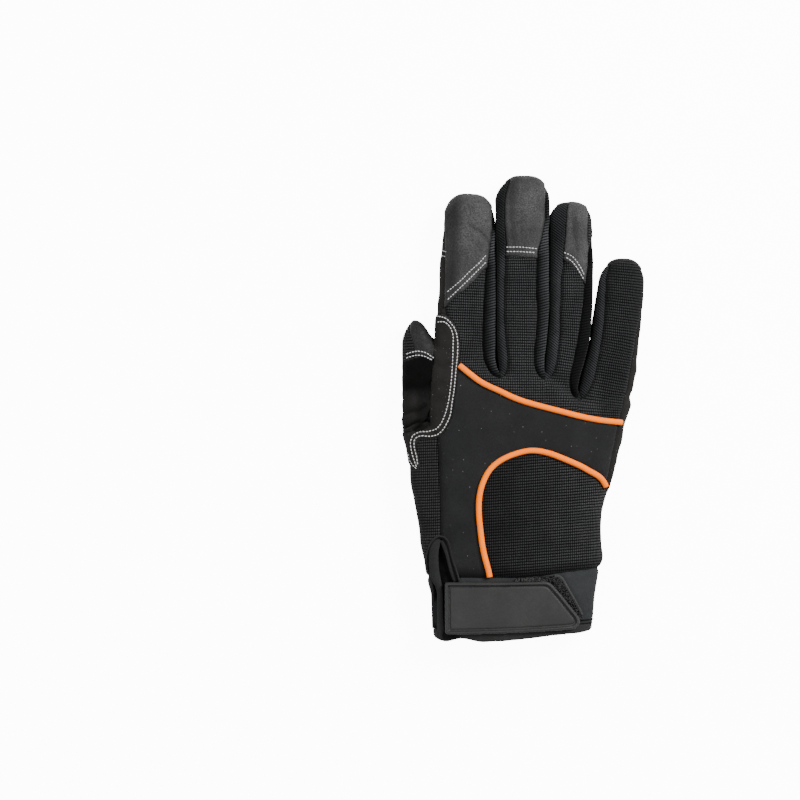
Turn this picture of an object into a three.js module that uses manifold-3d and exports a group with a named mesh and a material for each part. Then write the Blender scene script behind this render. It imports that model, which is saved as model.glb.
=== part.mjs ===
// A right-hand mechanic's work glove, lying palm down with its thumb along its side.
// Millimetres, +Z up. The fingers point along +Y and the thumb is on the -X side.
// The glove is a hollow shell lofted through sections, and each piece of cloth or leather is cut from that
// shell by the outline that it has seen from above, with a seam's gap between neighbours.
import * as THREE from "three";
import { mergeVertices } from "three/addons/utils/BufferGeometryUtils.js";
import Module from "manifold-3d";

const wasm = await Module();
wasm.setup();

// Sizes of the hand, in millimetres.
const HAND_LENGTH = 134; // cuff edge to the roots of the fingers
const HAND_WIDTH = 104; // across the knuckles
const HAND_THICKNESS = 23; // palm to back of the hand
const INDEX_LENGTH = 109; // each finger's length is from inside the knuckles to its tip
const MIDDLE_LENGTH = 118;
const RING_LENGTH = 107;
const LITTLE_LENGTH = 82;
const THUMB_LENGTH = 126; // from the wrist
const FINGER_THICKNESS = 19.5;
const THUMB_THICKNESS = 20;

// Cloth, leather and trim.
const FABRIC = 1.8; // knit, foam-backed cloth and suede
const SEAM_GAP = 0.3; // between neighbouring pieces
const CAP_STEP = 0.7; // how far a fingertip cap stands proud of the finger
const PATCH_THICKNESS = 1.3; // leather sewn on top of the glove
const PIPING_DIAMETER = 3.6;
const CUFF_STEP = 0.6; // how far the cuff stands proud of the hand
const HEM_STEP = 1.2; // how far the binding round the mouth stands proud
const HEM_HEIGHT = 5;
const VENT_BEAD = 2.8; // diameter of the binding round the vent
const GUSSET_THICKNESS = 1.2;
const GUSSET_SEAM = 4; // how far the gusset reaches past the vent's edge
const THUMB_CLEARANCE = 2; // between the thumb and the side of the hand, above the web

// The wrist strap.
const STRAP_LENGTH = 71.5;
const STRAP_HEIGHT = 26.5;
const STRAP_SLANT = 17.5; // how much shorter its upper edge is
const STRAP_TURN = 2; // degrees
const STRAP_BASE_THICKNESS = 1.3;
const STRAP_TAB_THICKNESS = 2.2;
const STRAP_RIM = 0.7; // how far the rim stands above the tab
const STRAP_RIM_WIDTH = 2;
const STRAP_OVERHANG = 7; // how far the base shows past the tab's upper corner
const STRAP_EDGE = 2; // and above its upper edge

const PAST_TIP = 1.3; // shares of a digit's length that lie beyond its tip
const DIGIT_SIDES = 14; // facets round a digit and round the hand, and fewer round their cavities
const CORD_SIDES = 6;
const DIGIT_CAVITY_SIDES = 10;
const HAND_SIDES = 24;
const HAND_CAVITY_SIDES = 18;
const BACK_ROUNDNESS = 2.3; // exponent of the sections' upper half: 2 is an ellipse
const FLOOR_ROUNDNESS = 3; // and of the lower half, which lies flatter
const TIP_ROUNDNESS = 2.2;
const FLOOR_FLAT = 0.9; // share of the floor half's depth at which it is cut flat
const TIP_SHARE = 0.45; // length of a rounded tip, as a share of the digit's width
const TIP_STEPS = [0, 32, 58, 80]; // degrees round the tip at which it has a section
const BELOW = -30; // heights that no part of the glove reaches
const ABOVE = 90;

// The hand's sections from the mouth to the knuckles. along is a share of HAND_LENGTH, left and right are
// shares of HAND_WIDTH, thick and rise (the underside's height) are shares of HAND_THICKNESS, and turn is in
// degrees.
const HAND_SECTIONS = [
  { along: -0.012, left: -0.443, right: 0.342, thick: 0.98, rise: 0.0, turn: 3.5 },
  { along: 0.1, left: -0.456, right: 0.352, thick: 0.98, rise: 0.0, turn: 4 },
  { along: 0.245, left: -0.478, right: 0.38, thick: 0.97, rise: 0.03, turn: 4.5 },
  { along: 0.36, left: -0.487, right: 0.39, thick: 1.0, rise: 0.07, turn: 3 },
  { along: 0.49, left: -0.487, right: 0.393, thick: 1.03, rise: 0.1, turn: 1 },
  { along: 0.57, left: -0.484, right: 0.432, thick: 1.04, rise: 0.11, turn: 0 },
  { along: 0.7, left: -0.475, right: 0.48, thick: 1.02, rise: 0.11, turn: 0 },
  { along: 0.85, left: -0.468, right: 0.518, thick: 0.96, rise: 0.08, turn: -5 },
  { along: 0.94, left: -0.46, right: 0.536, thick: 0.89, rise: 0.06, turn: -11 },
  { along: 0.985, left: -0.448, right: 0.54, thick: 0.8, rise: 0.06, turn: -13 },
  { along: 1.012, left: -0.42, right: 0.52, thick: 0.56, rise: 0.16, turn: -13 },
];

// Each finger leaves the hand at root (shares of HAND_WIDTH and HAND_LENGTH), heading in degrees from
// straight ahead, and turns by bend towards its tip. left and right are points of its back's two seams: the share of
// its length, then how far from its middle in half widths. hem is where its cap ends on the back, at the left
// and at the right, and palmHem where it ends on the palm side.
const DIGITS = {
  index: {
    root: [-0.299, 0.922], length: INDEX_LENGTH,
    width: HAND_WIDTH * 0.2673076923, thick: FINGER_THICKNESS, heading: 1.4, bend: -0.6,
    left: [[0.31, -0.82], [0.7, -0.84], [1, -0.88]],
    right: [
      [0.115, 1.2], [0.16, 0.87], [0.21, 0.72], [0.31, 0.64], [0.5, 0.64], [0.7, 0.7],
      [0.88, 0.82], [1, 0.9],
    ],
    hem: [0.46, 0.72], palmHem: 0.72,
  },
  middle: {
    root: [-0.011, 0.922], length: MIDDLE_LENGTH,
    width: HAND_WIDTH * 0.2557692308, thick: FINGER_THICKNESS, heading: 0.3, bend: 0,
    left: [
      [0.108, -0.81], [0.14, -0.66], [0.17, -0.58], [0.3, -0.6], [0.45, -0.66], [0.62, -0.64],
      [1, -0.67],
    ],
    right: [
      [0.108, 0.72], [0.14, 0.55], [0.17, 0.5], [0.3, 0.52], [0.45, 0.56], [0.62, 0.54],
      [0.76, 0.72], [1, 0.92],
    ],
    hem: [0.655, 0.64], palmHem: 0.76,
  },
  ring: {
    root: [0.196, 0.902], length: RING_LENGTH,
    width: HAND_WIDTH * 0.2019230769, thick: FINGER_THICKNESS, heading: 6, bend: -6.5,
    left: [[0.15, -0.72], [0.19, -0.55], [0.3, -0.45], [0.5, -0.47], [0.72, -0.35], [1, -0.2]],
    right: [[0.03, 0.7], [0.1, 0.32], [0.15, 0.33], [0.3, 0.48], [0.5, 0.62], [0.72, 0.74], [1, 0.94]],
    hem: [0.714, 0.61], palmHem: 0.75,
  },
  little: {
    root: [0.387, 0.874], length: LITTLE_LENGTH,
    width: HAND_WIDTH * 0.2269230769, thick: FINGER_THICKNESS * 0.94, heading: 12.5, bend: -7,
    left: [
      [0.1, -0.9], [0.145, -0.66], [0.21, -0.57], [0.31, -0.51], [0.5, -0.5], [0.7, -0.57],
      [0.86, -0.7], [1, -0.72],
    ],
    right: [[0.1, 0.93], [0.5, 0.93], [1, 0.93]],
    hem: null, palmHem: 0.72,
  },
};
const FINGERS = Object.keys(DIGITS);
const DIGIT_SECTIONS = [
  { along: 0, wide: 1.04, thick: 1.02 },
  { along: 0.4, wide: 1.04, thick: 1.04 },
  { along: 0.78, wide: 1.01, thick: 0.99 },
  { along: 1, wide: 0.95, thick: 0.92 },
];

// The thumb starts at the side of the wrist and is widest at its web. Its leather lies right of a seam.
const THUMB = {
  root: [-0.428, 0.289], length: THUMB_LENGTH,
  width: HAND_WIDTH * 0.1778846154, thick: THUMB_THICKNESS, heading: -7.9, bend: 4.1,
  left: [[0.55, -0.8], [0.81, -0.8], [0.88, -0.3], [1, -0.3]],
  right: [[0.55, 1.4], [1, 1.4]],
  hem: [0.85, 0.84],
};
const THUMB_SECTIONS = [
  { along: 0, wide: 0.5, thick: 0.7 },
  { along: 0.2, wide: 0.95, thick: 0.97 },
  { along: 0.45, wide: 1.07, thick: 1.05 },
  { along: 0.56, wide: 1.18, thick: 1.05 },
  { along: 0.72, wide: 1, thick: 1 },
  { along: 1, wide: 0.93, thick: 0.88 },
];
const THUMB_LEATHER_FLOOR = 0.28; // how low the thumb's leather reaches, as a share of THUMB_THICKNESS

// Points of the seams on the hand, as shares of HAND_WIDTH and HAND_LENGTH.
const CROTCHES = [[-0.122, 1.013], [0.107, 1.011], [0.28, 0.922]];
const UPPER_PIPING = [
  [-0.331, 1.032], [-0.224, 0.983], [-0.122, 0.947], [0.031, 0.912], [0.183, 0.876], [0.336, 0.848],
  [0.475, 0.834],
];
const LOWER_PIPING = [
  [-0.18, 0.237], [-0.219, 0.35], [-0.231, 0.5], [-0.204, 0.615], [-0.122, 0.69], [0.01, 0.724], [0.133, 0.7],
  [0.285, 0.655], [0.375, 0.615],
];
const CUFF_SEAM = [
  [-0.75, 0.21], [-0.42, 0.222], [-0.173, 0.222], [0.03, 0.223], [0.183, 0.237], [0.387, 0.256], [0.7, 0.27],
];
const RIGHT_SEAM = [[0.494, 0.832], [0.462, 0.74], [0.44, 0.66], [0.422, 0.6]];
const PANEL_LEFT = [[-0.428, 0.1], [-0.428, 0.5], [-0.433, 0.62], [-0.437, 0.775]];
const VENT_LEFT = [[-0.426, -0.1], [-0.43, 0.02], [-0.438, 0.13], [-0.45, 0.25], [-0.458, 0.33]];
const VENT_TOP = [[-0.452, 0.37], [-0.428, 0.39], [-0.4, 0.374]];
const VENT_RIGHT = [[-0.38, 0.34], [-0.367, 0.3], [-0.35, 0.25]];
const VENT_HIDDEN = [[-0.331, 0.2], [-0.321, 0.1], [-0.316, -0.1]]; // its part under the strap
const CROTCH_PATCH = [
  [-0.6, 1.27], [-0.45, 1.265], [-0.39, 1.25], [-0.35, 1.19], [-0.34, 1.1], [-0.35, 0.98], [-0.37, 0.87],
  [-0.41, 0.79], [-0.47, 0.765], [-0.53, 0.762], [-0.55, 0.73], [-0.545, 0.655], [-0.62, 0.665], [-0.7, 0.74],
  [-0.7, 0.85], [-0.6, 0.95],
];
const THUMB_REGION = [
  [-0.7, 0.1], [-0.428, 0.1], [-0.428, 0.5], [-0.433, 0.62], [-0.437, 0.775], [-0.47, 0.815], [-0.485, 1.0],
  [-0.44, 1.3], [-0.44, 1.6], [-1, 1.6], [-1, 0.3],
];
const STRAP_CORNER = [-0.403, -0.004]; // the strap's lower left corner
// Corners of the strap: along is a share of STRAP_LENGTH, back is how much of STRAP_SLANT is taken off it,
// and up is a share of STRAP_HEIGHT.
const STRAP_TAB = [
  { along: 0.007, back: 0, up: 0 },
  { along: 0.955, back: 0, up: 0 },
  { along: 0.988, back: 0, up: 0.045 },
  { along: 1, back: 0, up: 0.17 },
  { along: 0.986, back: 0, up: 0.28 },
  { along: 1.02, back: 1, up: 0.94 },
  { along: 0.988, back: 1, up: 0.992 },
  { along: 0.955, back: 1, up: 1 },
  { along: 0.007, back: 0, up: 1 },
  { along: 0, back: 0, up: 0.98 },
  { along: 0, back: 0, up: 0.02 },
];
const STRAP_BASE = [
  { along: 0.02, back: 0, up: 0.05 },
  { along: 0.94, back: 0, up: 0.05 },
  { along: 1.004, back: 0, up: 0.27 },
];
const WEB_ALONG = 0.815; // the web between thumb and hand, as a share of HAND_LENGTH

// Palm reinforcements, sewn on the underside.
const PALM_PATCHES = {
  palm_patch_index: [
    [-0.4, 1.0], [-0.36, 1.08], [-0.3, 1.1], [-0.22, 1.03], [-0.16, 0.9], [-0.2, 0.78],
    [-0.28, 0.74], [-0.37, 0.8],
  ],
  palm_patch_outer: [
    [0.13, 0.86], [0.3, 0.84], [0.42, 0.76], [0.4, 0.64], [0.3, 0.6], [0.16, 0.64], [0.09, 0.75],
  ],
  palm_patch_heel: [
    [-0.2, 0.5], [0.0, 0.54], [0.2, 0.5], [0.31, 0.42], [0.3, 0.34], [0.16, 0.29], [-0.06, 0.3],
    [-0.19, 0.38],
  ],
};

// A closed mesh whose shared vertices are merged, as a solid.
function solidOf(geometry) {
  const bare = geometry.clone();
  for (const name of Object.keys(bare.attributes)) {
    if (name !== "position") bare.deleteAttribute(name);
  }
  const merged = mergeVertices(bare, 1e-4);
  return new wasm.Manifold(new wasm.Mesh({
    numProp: 3,
    vertProperties: new Float32Array(merged.attributes.position.array),
    triVerts: new Uint32Array(merged.index.array),
  }));
}

function geometryOf(solid) {
  const mesh = solid.getMesh();
  const positions = new Float32Array(mesh.numVert * 3);
  for (let i = 0; i < mesh.numVert; i++) {
    positions.set(mesh.vertProperties.subarray(i * mesh.numProp, i * mesh.numProp + 3), i * 3);
  }
  const geometry = new THREE.BufferGeometry();
  geometry.setAttribute("position", new THREE.BufferAttribute(positions, 3));
  geometry.setIndex(new THREE.BufferAttribute(mesh.triVerts, 1));
  geometry.computeVertexNormals();
  return geometry;
}

// One closed body through rings of points, with a fan over each end.
function loft(rings) {
  const sides = rings[0].length;
  const points = rings.flat();
  const middle = (ring) => ring.reduce((sum, p) => sum.add(p), new THREE.Vector3()).divideScalar(sides);
  const first = points.length;
  points.push(middle(rings[0]), middle(rings.at(-1)));
  const index = [];
  for (let s = 0; s < sides; s++) {
    const next = (s + 1) % sides;
    for (let r = 0; r + 1 < rings.length; r++) {
      const [a, b] = [r * sides + s, r * sides + next];
      index.push(a, b, b + sides, a, b + sides, a + sides);
    }
    const last = (rings.length - 1) * sides;
    index.push(first, next, s, first + 1, last + s, last + next);
  }
  const geometry = new THREE.BufferGeometry().setFromPoints(points);
  geometry.setIndex(index);
  const solid = solidOf(geometry);
  return solid.volume() < 0 ? solidOf(turnedInsideOut(geometry)) : solid;
}

function turnedInsideOut(geometry) {
  const index = geometry.index.array;
  for (let i = 0; i < index.length; i += 3) [index[i + 1], index[i + 2]] = [index[i + 2], index[i + 1]];
  return geometry;
}

// A ring of points round a section: a flattened oval, rounder on top than where it lies.
function section(centre, turn, halfWide, halfThick, sides) {
  const ring = [];
  const power = (value, exponent) => Math.sign(value) * Math.abs(value) ** (2 / exponent);
  for (let s = 0; s < sides; s++) {
    const angle = (2 * Math.PI * s) / sides;
    const exponent = Math.sin(angle) < 0 ? FLOOR_ROUNDNESS : BACK_ROUNDNESS;
    const across = halfWide * power(Math.cos(angle), exponent);
    const round = power(Math.sin(angle), exponent);
    const up = halfThick * (round < 0 ? Math.max(round / FLOOR_FLAT, -1) : round);
    ring.push(new THREE.Vector3(
      centre.x + across * Math.cos(turn), centre.y + across * Math.sin(turn), centre.z + up,
    ));
  }
  return ring;
}

const radians = THREE.MathUtils.degToRad;
const plan = ([across, along]) => new THREE.Vector2(across * HAND_WIDTH, along * HAND_LENGTH);

// A point of a digit's middle line, at a distance from its root, and the digit's heading there.
function middleLine(digit, distance) {
  const start = plan(digit.root);
  const share = distance / digit.length;
  const mean = radians(digit.heading + (digit.bend * share) / 2);
  return {
    x: start.x + distance * Math.sin(mean),
    y: start.y + distance * Math.cos(mean),
    heading: radians(digit.heading + digit.bend * share),
  };
}

// A point beside a digit's middle line: offset in half widths, along in shares of its length.
function besideDigit(digit, offset, along) {
  const at = middleLine(digit, along * digit.length);
  const out = (offset * digit.width) / 2;
  return new THREE.Vector2(at.x + out * Math.cos(at.heading), at.y - out * Math.sin(at.heading));
}

// A digit grown by d all round, or shrunk when d is negative.
function digitSolid(digit, rows, d) {
  const underside = CAP_STEP;
  const sides = d < 0 ? DIGIT_CAVITY_SIDES : DIGIT_SIDES;
  const tip = TIP_SHARE * digit.width;
  const shaft = digit.length - tip;
  const rings = [];
  const addRing = (distance, wide, thick, height) => {
    const at = middleLine(digit, distance);
    const centre = new THREE.Vector3(at.x, at.y, underside + height / 2);
    const halfWidth = (digit.width / 2) * wide + d;
    rings.push(section(centre, -at.heading, halfWidth, (digit.thick / 2) * thick + d, sides));
  };
  for (const row of rows.slice(0, -1)) {
    addRing(row.along * shaft, row.wide, row.thick, digit.thick * row.thick);
  }
  const end = rows.at(-1);
  for (const degrees of TIP_STEPS) {
    const ahead = Math.sin(radians(degrees)) ** (2 / TIP_ROUNDNESS);
    const shrink = Math.cos(radians(degrees)) ** (2 / TIP_ROUNDNESS);
    const at = middleLine(digit, shaft + (tip + d) * ahead);
    const centre = new THREE.Vector3(at.x, at.y, underside + (digit.thick * end.thick) / 2);
    rings.push(section(
      centre, -at.heading,
      ((digit.width / 2) * end.wide + d) * shrink, ((digit.thick / 2) * end.thick + d) * shrink, sides,
    ));
  }
  return loft(rings);
}

// The hand grown by d all round. pastMouth lengthens it below the mouth, so that a cavity pierces the end.
function handSolid(d, pastMouth = 0) {
  const rings = HAND_SECTIONS.map((row, i) => {
    const half = ((row.right - row.left) / 2) * HAND_WIDTH;
    const isFirst = i === 0;
    const isLast = i === HAND_SECTIONS.length - 1;
    const centre = new THREE.Vector3(
      ((row.right + row.left) / 2) * HAND_WIDTH,
      row.along * HAND_LENGTH + (isLast ? d : 0) - (isFirst ? pastMouth : 0),
      HEM_STEP + (row.rise + row.thick / 2) * HAND_THICKNESS,
    );
    const sides = d < 0 ? HAND_CAVITY_SIDES : HAND_SIDES;
    return section(centre, radians(row.turn), half + d, (row.thick / 2) * HAND_THICKNESS + d, sides);
  });
  return loft(rings);
}

const joined = (solids) => solids.reduce((sum, s) => sum.add(s));

function fingersSolid(d) {
  return joined(FINGERS.map((name) => digitSolid(DIGITS[name], DIGIT_SECTIONS, d)));
}

const handAndFingers = (d, pastMouth = 0) => handSolid(d, pastMouth).add(fingersSolid(d));

// A prism over an outline seen from above.
function prism(outline, low = BELOW, high = ABOVE) {
  const shape = new THREE.Shape(outline);
  const geometry = new THREE.ExtrudeGeometry(shape, { depth: high - low, bevelEnabled: false });
  geometry.translate(0, 0, low);
  return solidOf(geometry);
}

// The outline moved outwards by distance, along its corners' bisectors.
function grown(outline, distance) {
  const sign = THREE.ShapeUtils.isClockWise(outline) ? -1 : 1;
  return outline.map((p, i) => {
    const before = outline.at(i - 1);
    const after = outline[(i + 1) % outline.length];
    const one = new THREE.Vector2(p.y - before.y, before.x - p.x).normalize();
    const two = new THREE.Vector2(after.y - p.y, p.x - after.x).normalize();
    const bisector = one.clone().add(two);
    const scale = Math.min(2 / Math.max(bisector.lengthSq(), 1e-6), 2);
    return p.clone().addScaledVector(bisector, sign * distance * scale);
  });
}

function smooth(points, count) {
  return new THREE.SplineCurve(points).getPoints(count);
}

// Everything beyond a line across the digit, whose ends are given as shares of its length.
function beyond(digit, [left, right]) {
  const slope = right - left;
  const reach = 1.6;
  const far = 1.6;
  return [
    besideDigit(digit, -reach, left - (slope * (reach - 1)) / 2),
    besideDigit(digit, reach, right + (slope * (reach - 1)) / 2),
    besideDigit(digit, reach, far),
    besideDigit(digit, -reach, far),
  ];
}

const seamLine = (digit, side) => digit[side].map(([along, out]) => besideDigit(digit, out, along));

// The digit's back between its two side seams, from its root to past its tip.
function strip(digit) {
  const edge = (side, at, along) => besideDigit(digit, digit[side].at(at)[1], along);
  return [
    edge("left", 0, 0),
    ...seamLine(digit, "left"),
    edge("left", -1, PAST_TIP),
    edge("right", -1, PAST_TIP),
    ...seamLine(digit, "right").reverse(),
    edge("right", 0, 0),
  ];
}

const SPLIT = FINGER_THICKNESS / 2; // the height at which back and palm part
const web = WEB_ALONG * HAND_LENGTH;
const FAR = HAND_WIDTH * 3;

// The half space beyond the web, as a slab that starts at a given distance above it.
function aboveWeb(raise) {
  const y = web + raise;
  const corners = [[-FAR, y], [FAR, y], [FAR, y + FAR], [-FAR, y + FAR]];
  return prism(corners.map(([x, v]) => new THREE.Vector2(x, v)));
}

// The thumb, grown by d, kept clear of the side of the hand above the web.
function thumbSolid(d) {
  const clearance = THUMB_CLEARANCE - d;
  return digitSolid(THUMB, THUMB_SECTIONS, d).subtract(handAndFingers(clearance).intersect(aboveWeb(d)));
}

const nodes = new Map();

// The whole shell before it is cut into pieces, and the gap between each finger and the next.
const outer = handAndFingers(0).add(thumbSolid(0));
const cavity = handAndFingers(-FABRIC, FABRIC * 4).add(thumbSolid(-FABRIC));
let rest = outer.subtract(cavity);

// The largest body of a solid, without the slivers that a cut can leave beside it.
function main(solid) {
  return solid.decompose().sort((a, b) => b.volume() - a.volume())[0];
}

// Cuts a region out of every piece so far and out of the rest of the shell.
function clear(region) {
  rest = rest.subtract(region);
  for (const [name, solid] of nodes) nodes.set(name, solid.subtract(region));
}

// Takes the piece of the shell inside an outline, and leaves a seam's gap round it.
function take(outline, low = BELOW, high = ABOVE) {
  const piece = rest.intersect(prism(outline, low, high));
  const raise = (height) => (height === BELOW || height === ABOVE ? 0 : SEAM_GAP);
  rest = rest.subtract(prism(grown(outline, SEAM_GAP), low - raise(low), high + raise(high)));
  return piece;
}

// Points on a solid's upper surface over points of a curve seen from above.
function draped(solid, curve) {
  const mesh = new THREE.Mesh(geometryOf(solid), new THREE.MeshBasicMaterial({ side: THREE.DoubleSide }));
  const caster = new THREE.Raycaster();
  return curve.map((p) => {
    caster.set(new THREE.Vector3(p.x, p.y, ABOVE), new THREE.Vector3(0, 0, -1));
    return new THREE.Vector3(p.x, p.y, caster.intersectObject(mesh)[0].point.z);
  });
}

// A round cord through points.
function cord(points, radius) {
  const round = new THREE.Shape();
  for (let s = 0; s < CORD_SIDES; s++) {
    const angle = (2 * Math.PI * (s + 0.5)) / CORD_SIDES;
    const [x, y] = [radius * Math.cos(angle), radius * Math.sin(angle)];
    if (s === 0) round.moveTo(x, y);
    else round.lineTo(x, y);
  }
  round.closePath();
  const path = new THREE.CatmullRomCurve3(points);
  return solidOf(new THREE.ExtrudeGeometry(round, { steps: points.length - 1, extrudePath: path }));
}

// A layer that lies over or under the hand, between two distances from its surface.
const layer = (near, far) => handSolid(far).subtract(handSolid(near));

// Fingertip caps stand a step proud of the fingers. They wrap over the tips of three fingers. The little
// finger has its cap on the palm side, and the thumb has it on the side that faces up.
function addCap(name, digit, rows, region, regionGrown) {
  const shell = digitSolid(digit, rows, CAP_STEP).subtract(digitSolid(digit, rows, -FABRIC));
  rest = rest.subtract(prism(grown(strip(digit), SEAM_GAP)).intersect(regionGrown));
  return shell.intersect(prism(strip(digit))).intersect(region);
}

function fingerCap(name) {
  const digit = DIGITS[name];
  const palmEnd = beyond(digit, [digit.palmHem, digit.palmHem]);
  let region = prism(palmEnd, BELOW, SPLIT);
  let regionGrown = prism(grown(palmEnd, SEAM_GAP), BELOW, SPLIT + SEAM_GAP);
  if (digit.hem) {
    const backEnd = beyond(digit, digit.hem);
    region = region.add(prism(backEnd, SPLIT - SEAM_GAP, ABOVE));
    regionGrown = regionGrown.add(prism(grown(backEnd, SEAM_GAP), SPLIT - 2 * SEAM_GAP, ABOVE));
  }
  return addCap(name, digit, DIGIT_SECTIONS, region, regionGrown);
}
for (const name of FINGERS) nodes.set(`${name}_tip_cap`, fingerCap(name));

// The strips between the fingers make the facing sides of two of them, and meet in the crotch.
FINGERS.slice(0, -1).forEach((name, i) => {
  const [one, two] = [DIGITS[name], DIGITS[FINGERS[i + 1]]];
  const outline = [
    plan(CROTCHES[i]),
    ...seamLine(one, "right"),
    besideDigit(one, one.right.at(-1)[1], PAST_TIP),
    besideDigit(two, two.left.at(-1)[1], PAST_TIP),
    ...seamLine(two, "left").reverse(),
  ];
  nodes.set(`side_strip_${name}_${FINGERS[i + 1]}`, take(outline));
});

// The thumb: its cap, its leather and, round the rest of it, the knit.
const thumbFloor = THUMB_LEATHER_FLOOR * THUMB_THICKNESS;
const thumbEnd = beyond(THUMB, THUMB.hem);
const thumbRegion = prism(THUMB_REGION.map(plan));
const thumbCap = addCap(
  "thumb_tip_cap", THUMB, THUMB_SECTIONS,
  prism(thumbEnd, thumbFloor), prism(grown(thumbEnd, SEAM_GAP), thumbFloor - SEAM_GAP),
);
nodes.set("thumb_tip_cap", thumbCap.subtract(handAndFingers(PATCH_THICKNESS + 2 * SEAM_GAP)));
const leatherLow = besideDigit(THUMB, 0, THUMB.left[0][0]).y;
const leatherOutline = [
  new THREE.Vector2(-FAR, Math.max(leatherLow, web)),
  new THREE.Vector2(FAR, Math.max(leatherLow, web)),
  new THREE.Vector2(FAR, FAR),
  new THREE.Vector2(-FAR, FAR),
];
const thumbSide = strip(THUMB);
const leatherRegion = prism(thumbSide, thumbFloor).intersect(prism(leatherOutline)).intersect(thumbRegion);
const leatherGrown = prism(grown(thumbSide, SEAM_GAP), thumbFloor - SEAM_GAP)
  .intersect(prism(grown(leatherOutline, SEAM_GAP))).intersect(thumbRegion);
nodes.set("thumb_leather", rest.intersect(leatherRegion));
rest = rest.subtract(leatherGrown);
nodes.set("thumb_knit", take(THUMB_REGION.map(plan)));

// Piping lies in the seams of the back of the hand and stands half proud of it.
const upperPiping = smooth(UPPER_PIPING.map(plan), 14);
const lowerPiping = smooth(LOWER_PIPING.map(plan), 20);
const cords = { upper_piping: draped(outer, upperPiping), lower_piping: draped(outer, lowerPiping) };
for (const points of Object.values(cords)) clear(cord(points, PIPING_DIAMETER / 2 + SEAM_GAP));

// The cuff is everything below its seam, and the vent opens it towards the thumb.
const cuffSeam = smooth(CUFF_SEAM.map(plan), 12);
const cuffOutline = [...cuffSeam, new THREE.Vector2(FAR, -FAR), new THREE.Vector2(-FAR, -FAR)];
const ventOutline = smooth([...VENT_LEFT, ...VENT_TOP, ...VENT_RIGHT, ...VENT_HIDDEN].map(plan), 22);
const vent = prism(ventOutline, SPLIT);
const mouth = HAND_SECTIONS[0];
const mouthSlope = Math.tan(radians(mouth.turn));
const mouthMiddle = plan([(mouth.left + mouth.right) / 2, mouth.along]);
const belowHemEdge = (raise) => [
  new THREE.Vector2(-FAR, mouthMiddle.y + HEM_HEIGHT + raise - mouthSlope * (FAR + mouthMiddle.x)),
  new THREE.Vector2(FAR, mouthMiddle.y + HEM_HEIGHT + raise + mouthSlope * (FAR - mouthMiddle.x)),
  new THREE.Vector2(FAR, -FAR),
  new THREE.Vector2(-FAR, -FAR),
];
const wrist = (d) => handSolid(d).subtract(handSolid(-FABRIC, FABRIC * 4));
rest = rest.subtract(prism(grown(cuffOutline, SEAM_GAP))).subtract(vent);
for (const [name, solid] of nodes) nodes.set(name, solid.subtract(prism(grown(cuffOutline, SEAM_GAP))));
const cuff = wrist(CUFF_STEP).intersect(prism(cuffOutline)).subtract(prism(belowHemEdge(SEAM_GAP)));
nodes.set("cuff", cuff.subtract(vent));
nodes.set("cuff_hem", wrist(HEM_STEP).intersect(prism(belowHemEdge(0))).subtract(vent));

// Panels of the back of the hand, cut from above.
const sideSeam = RIGHT_SEAM.map(plan);
nodes.set("knuckle_panel", take([
  plan([-0.437, 1.1]),
  ...upperPiping,
  ...sideSeam,
  ...lowerPiping.slice().reverse(),
  plan([-0.18, 0.1]),
  ...PANEL_LEFT.map(plan),
], SPLIT));
nodes.set("wrist_knit", take([
  plan([-0.18, 0.1]),
  ...lowerPiping,
  sideSeam.at(-1),
  plan([0.7, 0.6]),
  plan([0.7, 0.1]),
], SPLIT));
const backOutline = [plan([-0.437, 1.1])];
for (const [i, name] of FINGERS.entries()) {
  const digit = DIGITS[name];
  backOutline.push(
    ...seamLine(digit, "left"),
    besideDigit(digit, digit.left.at(-1)[1], PAST_TIP),
    besideDigit(digit, digit.right.at(-1)[1], PAST_TIP),
    ...seamLine(digit, "right").reverse(),
  );
  if (i < CROTCHES.length) backOutline.push(plan(CROTCHES[i]));
}
backOutline.push(sideSeam[0], ...upperPiping.slice().reverse());
nodes.set("back_knit", take(backOutline, SPLIT));
nodes.set("palm", rest);
nodes.set("upper_piping", cord(cords.upper_piping, PIPING_DIAMETER / 2));
nodes.set("lower_piping", cord(cords.lower_piping, PIPING_DIAMETER / 2));

// The patch over the thumb's crotch lies on the hand and, below the web, on the thumb too.
const below = (y) => {
  const corners = [[-FAR, y], [FAR, y], [FAR, -FAR], [-FAR, -FAR]];
  return prism(corners.map(([x, v]) => new THREE.Vector2(x, v)));
};
const patchFar = SEAM_GAP + PATCH_THICKNESS;
const patchBase = handAndFingers(SEAM_GAP).add(thumbSolid(SEAM_GAP));
const thumbUnderPatch = digitSolid(THUMB, THUMB_SECTIONS, patchFar).intersect(below(web));
const patchTop = handAndFingers(patchFar).add(thumbUnderPatch);
nodes.set("crotch_patch", patchTop.subtract(patchBase).intersect(prism(CROTCH_PATCH.map(plan), SPLIT))
  .subtract(cord(cords.upper_piping, PIPING_DIAMETER / 2 + SEAM_GAP)));

// Reinforcements under the palm.
for (const [name, outline] of Object.entries(PALM_PATCHES)) {
  const closed = [...outline, outline[0]].map(plan);
  const patch = layer(SEAM_GAP, patchFar).intersect(prism(smooth(closed, 16).slice(0, -1), BELOW, SPLIT));
  nodes.set(name, patch.subtract(handAndFingers(SEAM_GAP)));
}

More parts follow.
